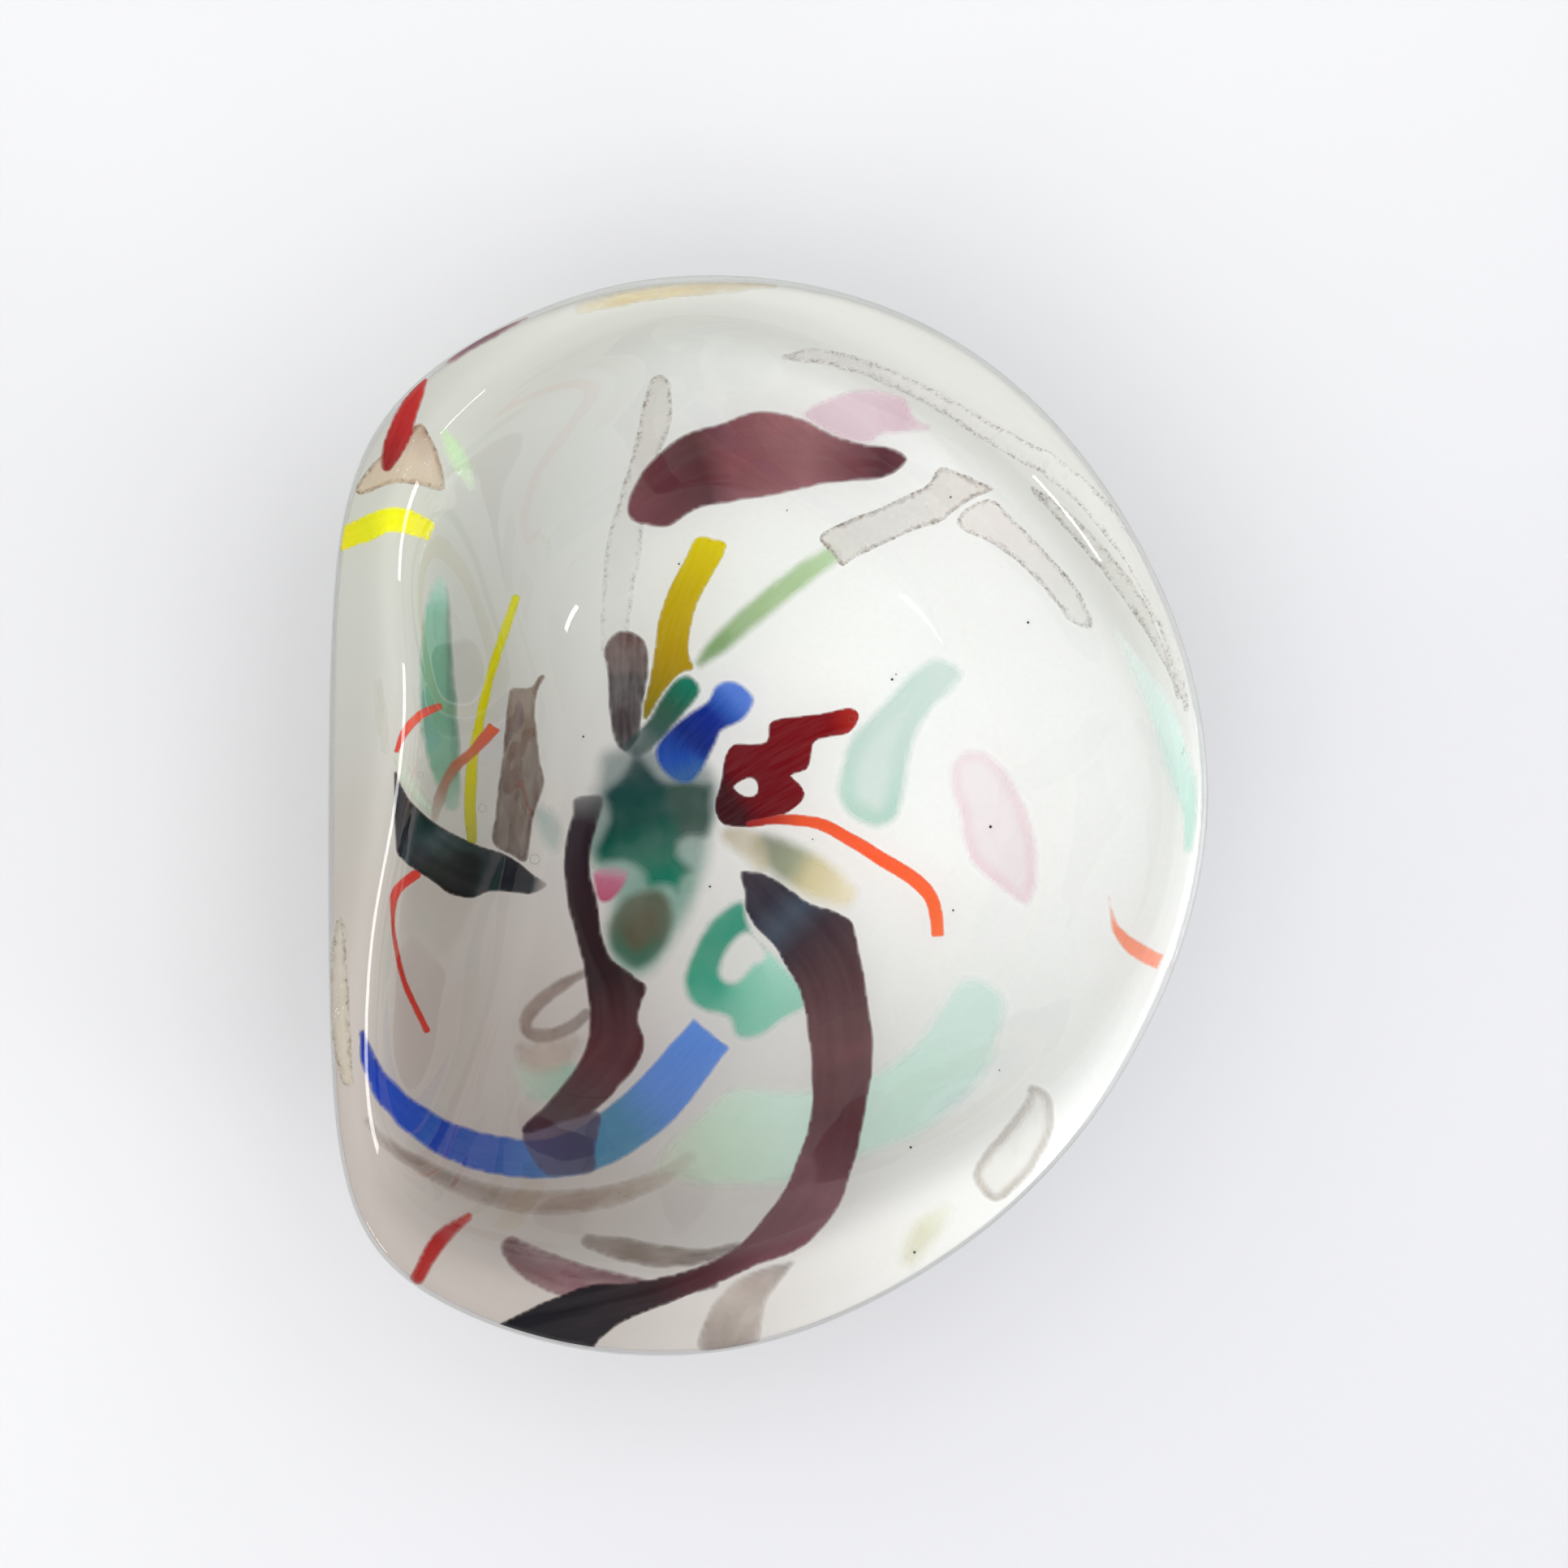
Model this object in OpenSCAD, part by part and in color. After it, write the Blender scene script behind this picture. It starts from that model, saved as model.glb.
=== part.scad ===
// Free-form art glass bowl: white opal glass between two clear layers, with coloured glass laid into it.
// Origin: middle of the ground flat under the base. +X to the open side, +Y along the long way, +Z up.

/* [Bowl] */
// Mean radius of the rim
bowl_r = 104; // [96:1:112]
// Height of the highest part of the rim
bowl_h = 70; // [60:1:80]
// Distance from the middle of the base to the pushed-in side
push_x = 69; // [66:1:76]
// Radius of the ground flat under the base
base_r = 30; // [26:1:32]
// Power of the wall's curve: a larger one gives a flatter floor and a steeper wall
wall_power = 3.2; // [2.8:0.1:3.6]
// Downward slope of the rolled lip in degrees
lip_fall = 20; // [10:1:25]
// Softness of the bend at the top of the wall
crest_soft = 6; // [6:0.5:8]

/* [Glass] */
// Thickness of the clear glass inside the bowl
lining_t = 2.2; // [2.1:0.1:2.6]
// Thickness of the white opal glass
opal_t = 2; // [1.8:0.1:2.4]
// Thickness of the clear glass outside the bowl
casing_t = 2.6; // [2.4:0.1:3]
// Thickness of the glass at the middle of the base
floor_t = 8; // [7.5:0.1:9]
// Thickness of each coloured piece
inlay_t = 1; // [0.9:0.1:1.1]

/* [Hidden] */

wall_t = lining_t + opal_t + casing_t;
half_t = wall_t / 2;
opal_top = half_t - lining_t;
opal_bottom = opal_top - opal_t;

// The rim's stray from its mean radius, the width of its rolled lip and how far it lies under its highest part,
// every 30 degrees from +X
rim_wave = [-1, -1, 1, -1, -5, 0, 0, 0, 4, 4, -1, -3];
lip_width = [2, 6, 9, 4, 10, 15, 12, 8, 9, 16, 15, 5];
rim_drop = [4, 4, 3, 2, 1, 0, 0, 1, 3, 4, 4, 4];
// How sharply the pushed-in side turns into the round rim, on average and by how much more towards -Y
corner_power = 9;
corner_change = 2.5;

// The mesh: turns round the bowl, rings up the wall and over the lip, steps round the lip's edge in each layer
turns = 40;
wall_rings = 9;
lip_rings = 4;
rings = wall_rings + lip_rings;
edge_steps = 2;
ring_crowding = 1.5;
// The least that the lip's rings spread over, and the reach over which the wall's slope is averaged
least_lip = 4;
slope_reach = 4;
bend_sag = crest_soft * 0.3;
crest_z = bowl_h - half_t + bend_sag;
floor_z = floor_t - half_t;
// The first ring of the outside that is clear of the ground flat
first_outer_ring = 4;

// Each coloured piece is a band: [x, y, width] at points along its middle, for a rim of this mean radius
drawn_r = 104;
// How far a band reaches past the face that it lies on, before it is trimmed to its layer
overreach = 1.5;
// The furthest that a band may reach towards the lip's edge
edge_share = 0.99;
// Steps between two points of a band, where it has few points and where it has many
few_point_steps = 2;
many_point_steps = 1;
many_points = 5;
// A band wider than this has a middle row of points as well as its two edges
wide_band = 6.5;

// Pieces in the clear lining, on the opal. Where two cross, the one listed first is whole.
LINING_BANDS = [
    ["straw_strip", [[-19, 94, 3], [-6, 97, 3], [9, 97, 3]]],
    ["plum_strip", [[-42, 84, 2], [-36, 87, 2], [-31, 90, 2]]],
    ["red_shard", [[-47, 78, 5], [-52, 71, 6], [-55, 65, 3]]],
    ["aventurine_star", [[-51, 72, 1], [-53, 66, 7], [-54, 60, 14]]],
    ["pale_green_dab", [[-46, 71, 4], [-43, 67, 6], [-41, 63, 4]]],
    ["lip_yellow_strip", [[-62, 50, 4], [-57, 54, 6], [-49, 54, 5]]],
    ["teal_blade", [[-48, 44, 2], [-48, 30, 6], [-47, 12, 7], [-45, 0, 4]]],
    ["orange_hook", [[-55, 11, 2], [-52, 17, 2.5], [-47, 18.5, 2]]],
    ["rust_cane", [[-37, 16, 3], [-43, 8, 3], [-48, -2, 2.5]]],
    ["thin_yellow_cane", [[-34, 41, 2], [-37, 25, 3], [-40, 14, 3.5], [-42, -6, 2.5]]],
    ["green_arc", [[-55, 10, 3], [-52, 5, 3], [-50, 1, 2]]],
    ["taupe_blade", [[-29, 27, 1], [-32, 22, 6], [-32, 14, 8], [-31, 6, 8], [-34, -8, 5]]],
    ["black_shard", [[-56, 4, 1], [-54, -4, 4], [-48, -12, 8], [-40, -14, 8], [-30, -17, 3]]],
    ["thin_red_cane", [[-53, -17, 1.5], [-56, -23, 2], [-56, -31, 2], [-54, -38, 2], [-51, -45, 1.5]]],
    ["purple_lobe", [[-32, -66, 3], [-26, -69, 7], [-19, -73, 3]]],
    ["purple_ribbon",
        [[-21, 1, 3], [-21, -11, 6], [-20, -22, 6], [-15, -33, 7], [-13, -47, 7], [-20, -58, 6], [-31, -63, 3]]],
    ["blue_ribbon",
        [[-62, -45, 2], [-58, -56, 5], [-51, -65, 7], [-38, -71, 10], [-22, -73, 11], [-11, -69, 11],
         [-2, -59, 10], [8, -48, 8]]],
    ["long_taupe_strip",
        [[-58, -65, 2], [-48, -74, 4], [-32, -79, 4], [-16, -80, 4], [-3, -75, 4], [3, -68, 3]]],
    ["red_strip", [[-42, -81, 3], [-47, -86, 4], [-51, -91, 3]]],
    ["mauve_piece", [[-33, -87, 3], [-25, -92, 6], [-13, -95, 6], [-3, -94, 3]]],
    ["lip_taupe_strip", [[-19, -86, 3], [-6, -88, 4], [8, -87, 4]]],
    ["amethyst_ribbon",
        [[13, -16, 6], [25, -30, 12], [32, -43, 15], [32, -57, 13], [28, -73, 10], [19, -86, 9], [2, -94, 5],
         [-14, -100, 4], [-30, -101, 2]]],
    ["taupe_patch", [[24, -89, 5], [17, -96, 8], [10, -101, 5]]],
    ["aventurine_loop", [[70, -55, 5], [66, -62, 10], [62, -68, 10], [59, -73, 5]]],
    ["salmon_hook", [[84, -18, 1.5], [85, -24, 3], [88, -28, 4], [92, -30, 4]]],
    ["mint_rim_strip", [[88, 30, 4], [93, 14, 6], [96, 2, 6], [96, -8, 4]]],
    ["long_aventurine",
        [[21, 88, 2], [38, 84, 5], [54, 75, 7], [67, 66, 7], [80, 53, 6], [89, 39, 5], [94, 24, 2]]],
    ["short_aventurine", [[68, 58, 2], [77, 47, 3.5], [84, 36, 3], [89, 24, 2]]],
    ["plum_blade", [[-9, 60, 5], [2, 68, 13], [14, 70, 15], [33, 68, 8], [44, 68, 2]]],
    ["taupe_strip", [[-3, 82, 4], [-7, 75, 7], [-10, 63, 7], [-15, 49, 6], [-17, 36, 4]]],
    ["aventurine_elbow", [[28, 52, 4], [41, 55, 8], [50, 61, 8], [60, 62, 4]]],
    ["aventurine_wing", [[57, 56, 4], [65, 50, 7], [72, 42, 7], [78, 34, 4]]],
    ["light_green_cane", [[27, 47, 5], [16, 39, 6], [4, 29, 5]]],
    ["yellow_strip", [[5, 53, 6], [1, 44, 8], [-2, 33, 8], [-4, 21, 6]]],
    ["teal_capsule", [[0, 22, 6], [-6, 14, 8], [-12, 8, 6]]],
    ["mauve_capsule", [[-12, 32, 6], [-13, 22, 8], [-11, 15, 8], [-8, 9, 4]]],
    ["blue_piece", [[10, 21, 6], [3, 15, 10], [0, 6, 7]]],
    ["crimson_ring", [[34, 19, 2], [25, 15, 6], [16, 11, 8], [9, 6, 7], [7, -1, 6], [13, -4, 6], [20, 1, 5]]],
    ["orange_cane", [[20, -5, 2.5], [28, -5, 3.5], [38, -10, 3.5], [47, -17, 3.5], [51, -26, 3]]],
    ["olive_disc", [[-5, -18, 5], [-6, -25, 13], [-6, -31, 5]]],
    ["magenta_shard", [[-16, -12, 3], [-14, -15, 6], [-12, -19, 2]]],
    ["lip_aventurine", [[-63, -24, 2], [-63, -37, 4], [-62, -50, 2]]]
];

// Pieces in the clear casing, behind the opal, which softens them
CASING_BANDS = [
    ["olive_smudge", [[52, -79, 5], [47, -84, 6], [43, -87, 4]]],
    ["pink_shard", [[24, 78, 4], [35, 79, 8], [46, 76, 4]]],
    ["mint_piece", [[53, 26, 6], [43, 16, 11], [38, 6, 12], [36, -2, 7]]],
    ["pink_oval", [[57, 9, 6], [63, -2, 13], [68, -17, 7]]],
    ["teal_mass", [[-8, 5, 10], [-6, -6, 17], [-5, -18, 10]]],
    ["teal_horseshoe", [[15, -18, 6], [5, -25, 9], [2, -36, 9], [7, -44, 8], [17, -46, 6]]],
    ["mint_ribbon", [[59, -40, 8], [54, -54, 14], [38, -63, 16], [19, -68, 15], [3, -68, 8]]],
    ["lime_smudge", [[15, -9, 6], [23, -13, 11], [31, -18, 6]]],
    ["brown_loop", [[-32, -45, 2], [-29, -39, 2], [-24, -39, 2], [-21, -47, 2], [-25, -52, 2]]],
    ["mint_fleck", [[-34, -53, 3], [-30, -52, 5], [-26, -52, 3]]],
    ["pale_taupe_fleck", [[-58, 24, 2], [-58, 16, 3], [-57, 10, 2]]]
];

// Smooth curve through b and c, with a and d before and after them
function blend4(a, b, c, d, f) =
    b + (c - a) * f / 2 + (2 * a - 5 * b + 4 * c - d) * f * f / 2 + (3 * b - a - 3 * c + d) * f * f * f / 2;

// Value at an angle of a list spread evenly round the circle
function around(list, angle) =
    let (n = len(list), u = (angle + 720) % 360 * n / 360, i = floor(u))
    blend4(list[(i + n - 1) % n], list[i % n], list[(i + 1) % n], list[(i + 2) % n], u - i);

// Plan radius of the lip's outermost edge: a wavy round, cut off softly by the pushed-in side
function rim_at(angle) =
    let (round_r = bowl_r + around(rim_wave, angle))
    let (side_r = push_x / max(-cos(angle), 0.05))
    let (p = corner_power - corner_change * sin(angle))
    pow(pow(round_r, -p) + pow(side_r, -p), -1 / p);

function crest_at(angle) = rim_at(angle) - around(lip_width, angle);

function edge_at(angle) = rim_at(angle) - half_t;

function bend_at(angle) = min(crest_at(angle), edge_at(angle) - least_lip);

// Height of the middle of the wall: the wall's curve and the lip's slope, softly joined
function middle_z(r, angle) =
    let (crest = crest_at(angle), top = crest_z - around(rim_drop, angle))
    let (wall = floor_z + (top - floor_z) * pow(r / crest, wall_power))
    let (lip = top - tan(lip_fall) * (r - crest))
    -crest_soft * ln(exp(-wall / crest_soft) + exp(-lip / crest_soft));

// Slope of the middle of the wall in degrees, averaged so that its two faces never cross at a tight bend
function slope_at(r, angle) =
    let (inner_r = max(r - slope_reach, 0), outer_r = r + slope_reach)
    atan((middle_z(outer_r, angle) - middle_z(inner_r, angle)) / (outer_r - inner_r));

function turned(r, z, angle) = [r * cos(angle), r * sin(angle), z];

// Point of the glass at a height above the middle of the wall, measured square to it, and a reach past the edge
function glass_point(r, angle, height, reach = 0) =
    let (slope = slope_at(r, angle))
    turned(
        r - height * sin(slope) + reach * cos(slope),
        middle_z(r, angle) + height * cos(slope) + reach * sin(slope),
        angle
    );

function angle_of(turn) = 360 * turn / turns;

function ring_r(ring, angle) =
    let (bend = bend_at(angle))
    ring < wall_rings
        ? bend * (1 - pow(1 - ring / wall_rings, ring_crowding))
        : bend + (edge_at(angle) - bend) * (ring - wall_rings) / lip_rings;

// One layer's face: rings of points from near the middle to the rounded lip's edge
function face_points(height, first) = [
    for (ring = [first:rings]) for (turn = [0:turns - 1])
        let (angle = angle_of(turn))
        glass_point(ring_r(ring, angle), angle, height,
            ring == rings ? sqrt(max(half_t * half_t - height * height, 0)) : 0)
];

// The rounded edge between two faces of a layer
function edge_points(top, bottom) =
    let (from = asin(top / half_t), to = asin(bottom / half_t))
    [
        for (step = [1:edge_steps - 1]) for (turn = [0:turns - 1])
            let (angle = angle_of(turn), bend = from + (to - from) * step / edge_steps)
            glass_point(edge_at(angle), angle, half_t * sin(bend), half_t * cos(bend))
    ];

function base_points() = [for (turn = [0:turns - 1]) turned(base_r, 0, angle_of(turn))];

// Triangles between two rows of points that start at a and b
function strip_faces(a, b) = [
    for (turn = [0:turns - 1])
        let (next = (turn + 1) % turns)
        each [[a + turn, b + next, b + turn], [a + turn, a + next, b + next]]
];

function reversed_faces(faces) = [for (f = faces) [f[0], f[2], f[1]]];

function fan_faces(row, middle) = [for (turn = [0:turns - 1]) [middle, row + (turn + 1) % turns, row + turn]];

// A closed cup of glass between two heights in the wall; the casing's underside is ground flat
module cup(top, bottom, ground = false) {
    first = ground ? first_outer_ring : 1;
    inner = face_points(top, 1);
    edge = edge_points(top, bottom);
    outer = concat(ground ? base_points() : [], face_points(bottom, first));
    inner_rows = len(inner) / turns;
    edge_rows = len(edge) / turns;
    outer_rows = len(outer) / turns;
    outer_start = len(inner) + len(edge);
    middle = outer_start + len(outer);
    rim_rows = [
        for (row = [inner_rows - 1:inner_rows + edge_rows - 1]) row * turns,
        outer_start + (outer_rows - 1) * turns
    ];
    polyhedron(
        points = concat(
            inner, edge, outer,
            [turned(0, middle_z(0, 0) + top, 0), turned(0, ground ? 0 : middle_z(0, 0) + bottom, 0)]
        ),
        faces = concat(
            fan_faces(0, middle),
            [for (row = [0:inner_rows - 2]) each strip_faces(row * turns, (row + 1) * turns)],
            [for (row = [0:len(rim_rows) - 2]) each strip_faces(rim_rows[row], rim_rows[row + 1])],
            reversed_faces([
                for (row = [0:outer_rows - 2])
                    each strip_faces(outer_start + row * turns, outer_start + (row + 1) * turns)
            ]),
            reversed_faces(fan_faces(outer_start, middle + 1))
        ),
        convexity = 6
    );
}

// Point of the glass over a place in plan, at a height in the wall
function draped(x, y, height) =
    let (angle = atan2(y, x), r = norm([x, y]) * bowl_r / drawn_r, limit = edge_share * edge_at(angle))
    let (near = min(r, limit))
    glass_point(min(near + height * sin(slope_at(near, angle)), limit), angle, height);

// Stations along a band's smooth middle line, each [x, y, width]
function stations(line) =
    let (last = len(line) - 1, steps = len(line) < many_points ? few_point_steps : many_point_steps)
    [
        for (i = [0:last - 1]) for (step = [0:steps - 1])
            blend4(line[max(i - 1, 0)], line[i], line[i + 1], line[min(i + 2, last)], step / steps),
        line[last]
    ];

// Points across a band at each station, from its left edge to its right, as [x, y]
function across(path, columns) =
    let (last = len(path) - 1)
    [
        for (i = [0:last])
            let (ahead = path[min(i + 1, last)] - path[max(i - 1, 0)])
            let (right = [ahead[1], -ahead[0]] / norm([ahead[0], ahead[1]]))
            for (k = [0:columns - 1])
                [path[i][0], path[i][1]] + right * path[i][2] * (k / (columns - 1) - 0.5)
    ];

// A band of even thickness that follows the wall between two heights
module band(line, low, high) {
    columns = max([for (p = line) p[2]]) > wide_band ? 3 : 2;
    plan = across(stations(line), columns);
    lower = len(plan);
    last_row = len(plan) - columns;
    cells = [for (a = [0:columns:last_row - 1]) for (k = [0:columns - 2]) a + k];
    polyhedron(
        points = [for (height = [high, low]) for (p = plan) draped(p[0], p[1], height)],
        faces = concat(
            [for (a = cells) each [[a, a + columns, a + columns + 1], [a, a + columns + 1, a + 1]]],
            [
                for (b = cells)
                    let (a = b + lower)
                    each [[a, a + columns + 1, a + columns], [a, a + 1, a + columns + 1]]
            ],
            [
                for (a = [0:columns:last_row - 1])
                    each [[a, lower + a, lower + a + columns], [a, lower + a + columns, a + columns]]
            ],
            [
                for (a = [columns - 1:columns:last_row - 1])
                    each [[a, lower + a + columns, lower + a], [a, a + columns, lower + a + columns]]
            ],
            [for (a = [0:columns - 2]) each [[a, a + 1, lower + a + 1], [a, lower + a + 1, lower + a]]],
            [
                for (a = [last_row:last_row + columns - 2])
                    each [[a, lower + a + 1, a + 1], [a, lower + a, lower + a + 1]]
            ]
        ),
        convexity = 4
    );
}

module lining_band(line) {
    band(line, opal_top - overreach, opal_top + inlay_t);
}

module casing_band(line) {
    band(line, opal_bottom - inlay_t, opal_bottom + overreach);
}

module lining_cup() {
    cup(half_t, opal_top);
}

module casing_cup() {
    cup(opal_bottom, -half_t, ground = true);
}

// The named band, trimmed to the lining's face on the opal and to the bands listed before it
module lining_piece(name) {
    index = search([name], LINING_BANDS)[0];
    resize([0, 0, 0]) difference() {
        intersection() {
            lining_cup();
            lining_band(LINING_BANDS[index][1]);
        }
        for (earlier = [for (i = [0:1:index - 1]) LINING_BANDS[i][1]]) lining_band(earlier);
    }
}

// The named band, trimmed to the casing's face on the opal and to the bands listed before it
module casing_piece(name) {
    index = search([name], CASING_BANDS)[0];
    resize([0, 0, 0]) difference() {
        intersection() {
            casing_cup();
            casing_band(CASING_BANDS[index][1]);
        }
        for (earlier = [for (i = [0:1:index - 1]) CASING_BANDS[i][1]]) casing_band(earlier);
    }
}

module clear_lining() {
    color("azure", 0.4) resize([0, 0, 0]) difference() {
        lining_cup();
        for (row = LINING_BANDS) lining_band(row[1]);
    }
}

module opal_glass() {
    color("whitesmoke") cup(opal_top, opal_bottom);
}

module clear_casing() {
    color("azure", 0.4) resize([0, 0, 0]) difference() {
        casing_cup();
        for (row = CASING_BANDS) casing_band(row[1]);
    }
}

module straw_strip() {
    color("khaki") lining_piece("straw_strip");
}

module plum_strip() {
    color([0.35, 0.2, 0.3]) lining_piece("plum_strip");
}

module red_shard() {
    color("firebrick") lining_piece("red_shard");
}

module aventurine_star() {
    color("silver") lining_piece("aventurine_star");
}

module pale_green_dab() {
    color("palegreen") lining_piece("pale_green_dab");
}

module lip_yellow_strip() {
    color("gold") lining_piece("lip_yellow_strip");
}

module teal_blade() {
    color([0.5, 0.75, 0.68]) lining_piece("teal_blade");
}

module orange_hook() {
    color("orangered") lining_piece("orange_hook");
}

module rust_cane() {
    color([0.7, 0.3, 0.2]) lining_piece("rust_cane");
}

module thin_yellow_cane() {
    color("yellow") lining_piece("thin_yellow_cane");
}

module green_arc() {
    color("lightgreen") lining_piece("green_arc");
}

module taupe_blade() {
    color([0.62, 0.58, 0.52]) lining_piece("taupe_blade");
}

module black_shard() {
    color([0.1, 0.1, 0.16]) lining_piece("black_shard");
}

module thin_red_cane() {
    color("crimson") lining_piece("thin_red_cane");
}

module purple_lobe() {
    color([0.25, 0.15, 0.2]) lining_piece("purple_lobe");
}

module purple_ribbon() {
    color([0.25, 0.15, 0.2]) lining_piece("purple_ribbon");
}

module blue_ribbon() {
    color("royalblue") lining_piece("blue_ribbon");
}

module long_taupe_strip() {
    color([0.65, 0.62, 0.56]) lining_piece("long_taupe_strip");
}

module red_strip() {
    color("firebrick") lining_piece("red_strip");
}

module mauve_piece() {
    color([0.58, 0.45, 0.48]) lining_piece("mauve_piece");
}

module lip_taupe_strip() {
    color([0.7, 0.67, 0.62]) lining_piece("lip_taupe_strip");
}

module amethyst_ribbon() {
    color([0.38, 0.22, 0.26]) lining_piece("amethyst_ribbon");
}

module taupe_patch() {
    color([0.68, 0.64, 0.6]) lining_piece("taupe_patch");
}

module aventurine_loop() {
    color("silver") lining_piece("aventurine_loop");
}

module salmon_hook() {
    color("salmon") lining_piece("salmon_hook");
}

module mint_rim_strip() {
    color([0.7, 0.85, 0.75]) lining_piece("mint_rim_strip");
}

module long_aventurine() {
    color("silver") lining_piece("long_aventurine");
}

module short_aventurine() {
    color("silver") lining_piece("short_aventurine");
}

module plum_blade() {
    color([0.42, 0.26, 0.3]) lining_piece("plum_blade");
}

module taupe_strip() {
    color([0.75, 0.74, 0.7]) lining_piece("taupe_strip");
}

module aventurine_elbow() {
    color("silver") lining_piece("aventurine_elbow");
}

module aventurine_wing() {
    color("silver") lining_piece("aventurine_wing");
}

module light_green_cane() {
    color("palegreen") lining_piece("light_green_cane");
}

module yellow_strip() {
    color("yellow") lining_piece("yellow_strip");
}

module teal_capsule() {
    color("seagreen") lining_piece("teal_capsule");
}

module mauve_capsule() {
    color([0.55, 0.47, 0.47]) lining_piece("mauve_capsule");
}

module blue_piece() {
    color("mediumblue") lining_piece("blue_piece");
}

module crimson_ring() {
    color("crimson") lining_piece("crimson_ring");
}

module orange_cane() {
    color("coral") lining_piece("orange_cane");
}

module olive_disc() {
    color([0.43, 0.43, 0.32]) lining_piece("olive_disc");
}

module magenta_shard() {
    color([0.7, 0.32, 0.43]) lining_piece("magenta_shard");
}

module lip_aventurine() {
    color("silver") lining_piece("lip_aventurine");
}

module olive_smudge() {
    color([0.45, 0.45, 0.3]) casing_piece("olive_smudge");
}

module pink_shard() {
    color("pink") casing_piece("pink_shard");
}

module mint_piece() {
    color([0.75, 0.9, 0.85]) casing_piece("mint_piece");
}

module pink_oval() {
    color([0.93, 0.85, 0.9]) casing_piece("pink_oval");
}

module teal_mass() {
    color([0.25, 0.6, 0.52]) casing_piece("teal_mass");
}

module teal_horseshoe() {
    color([0.3, 0.68, 0.57]) casing_piece("teal_horseshoe");
}

module mint_ribbon() {
    color([0.74, 0.88, 0.82]) casing_piece("mint_ribbon");
}

module lime_smudge() {
    color([0.85, 0.87, 0.6]) casing_piece("lime_smudge");
}

module brown_loop() {
    color([0.5, 0.4, 0.3]) casing_piece("brown_loop");
}

module mint_fleck() {
    color([0.7, 0.85, 0.75]) casing_piece("mint_fleck");
}

module pale_taupe_fleck() {
    color([0.8, 0.78, 0.74]) casing_piece("pale_taupe_fleck");
}

clear_lining();
opal_glass();
clear_casing();
straw_strip();
plum_strip();
red_shard();
aventurine_star();
pale_green_dab();
lip_yellow_strip();
teal_blade();
orange_hook();
rust_cane();
thin_yellow_cane();
green_arc();
taupe_blade();
black_shard();
thin_red_cane();
purple_lobe();
purple_ribbon();
blue_ribbon();
long_taupe_strip();
red_strip();
mauve_piece();
lip_taupe_strip();
amethyst_ribbon();
taupe_patch();
aventurine_loop();
salmon_hook();
mint_rim_strip();
long_aventurine();
short_aventurine();
plum_blade();
taupe_strip();
aventurine_elbow();
aventurine_wing();
light_green_cane();
yellow_strip();
teal_capsule();
mauve_capsule();
blue_piece();
crimson_ring();
orange_cane();
olive_disc();
magenta_shard();
lip_aventurine();
olive_smudge();
pink_shard();
mint_piece();
pink_oval();
teal_mass();
teal_horseshoe();
mint_ribbon();
lime_smudge();
brown_loop();
mint_fleck();
pale_taupe_fleck();
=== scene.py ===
"""Looks for the art glass bowl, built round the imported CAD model."""
import math

import bpy
import numpy as np
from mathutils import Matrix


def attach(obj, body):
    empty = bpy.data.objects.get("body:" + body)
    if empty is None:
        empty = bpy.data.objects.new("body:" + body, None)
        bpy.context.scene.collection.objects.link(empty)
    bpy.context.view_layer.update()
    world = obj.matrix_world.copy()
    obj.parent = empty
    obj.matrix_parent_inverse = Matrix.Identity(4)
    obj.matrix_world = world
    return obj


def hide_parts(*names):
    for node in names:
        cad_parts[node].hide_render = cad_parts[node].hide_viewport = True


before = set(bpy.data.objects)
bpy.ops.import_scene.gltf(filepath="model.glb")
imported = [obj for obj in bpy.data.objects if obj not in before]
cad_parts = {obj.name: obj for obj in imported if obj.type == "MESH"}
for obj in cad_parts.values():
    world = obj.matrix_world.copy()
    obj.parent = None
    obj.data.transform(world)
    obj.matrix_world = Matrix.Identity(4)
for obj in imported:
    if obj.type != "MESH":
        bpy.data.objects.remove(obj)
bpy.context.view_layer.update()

MM = 0.001

# The bowl, in millimetres and degrees, as in the CAD
BOWL_R = 104
BOWL_H = 70
PUSH_X = 69
BASE_R = 30
# The wall's rings are eased out of the ground flat within the first, and down to it within the second
BASE_BLEND = 1.5
BASE_ROUNDING = 14
WALL_POWER = 3.2
LIP_FALL = 20
CREST_SOFT = 6
LINING_T = 2.2
OPAL_T = 2.0
CASING_T = 2.6
FLOOR_T = 8
CORNER_POWER = 9
CORNER_CHANGE = 2.5
LEAST_LIP = 3
# Keeps the pushed-in side's radius finite on the sides that face away from it
LEAST_FACING = 0.05
# The reach over which the wall's slope is averaged
SLOPE_REACH = 4
RIM_WAVE = [-1, -1, 1, -1, -5, 0, 0, 0, 4, 4, -1, -3]
LIP_WIDTH = [2, 6, 9, 4, 10, 15, 12, 8, 9, 16, 15, 5]
RIM_DROP = [4, 4, 3, 2, 1, 0, 0, 1, 3, 4, 4, 4]

HALF_T = (LINING_T + OPAL_T + CASING_T) / 2
OPAL_TOP = HALF_T - LINING_T
OPAL_BOTTOM = OPAL_TOP - OPAL_T
OPAL_MIDDLE = (OPAL_TOP + OPAL_BOTTOM) / 2
CREST_Z = BOWL_H - HALF_T + CREST_SOFT * 0.3
FLOOR_Z = FLOOR_T - HALF_T

# The visual mesh: steps round the bowl, up the wall, over the lip, round its edge and over the base
TURNS = 360
WALL_RINGS = 90
LIP_RINGS = 30
RING_CROWDING = 1.5
EDGE_STEPS = 10
FLAT_RINGS = 14
TURN_ANGLES = np.arange(TURNS) * 360 / TURNS
# How far the opal's rounded edge lies inside the lip's edge, and the gap between two layers
OPAL_INSET = 0.9
SKIN_GAP = 0.02
# The angle at which a clear layer's face on the opal starts, past the lip's edge
INTERFACE_START = 3
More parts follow.
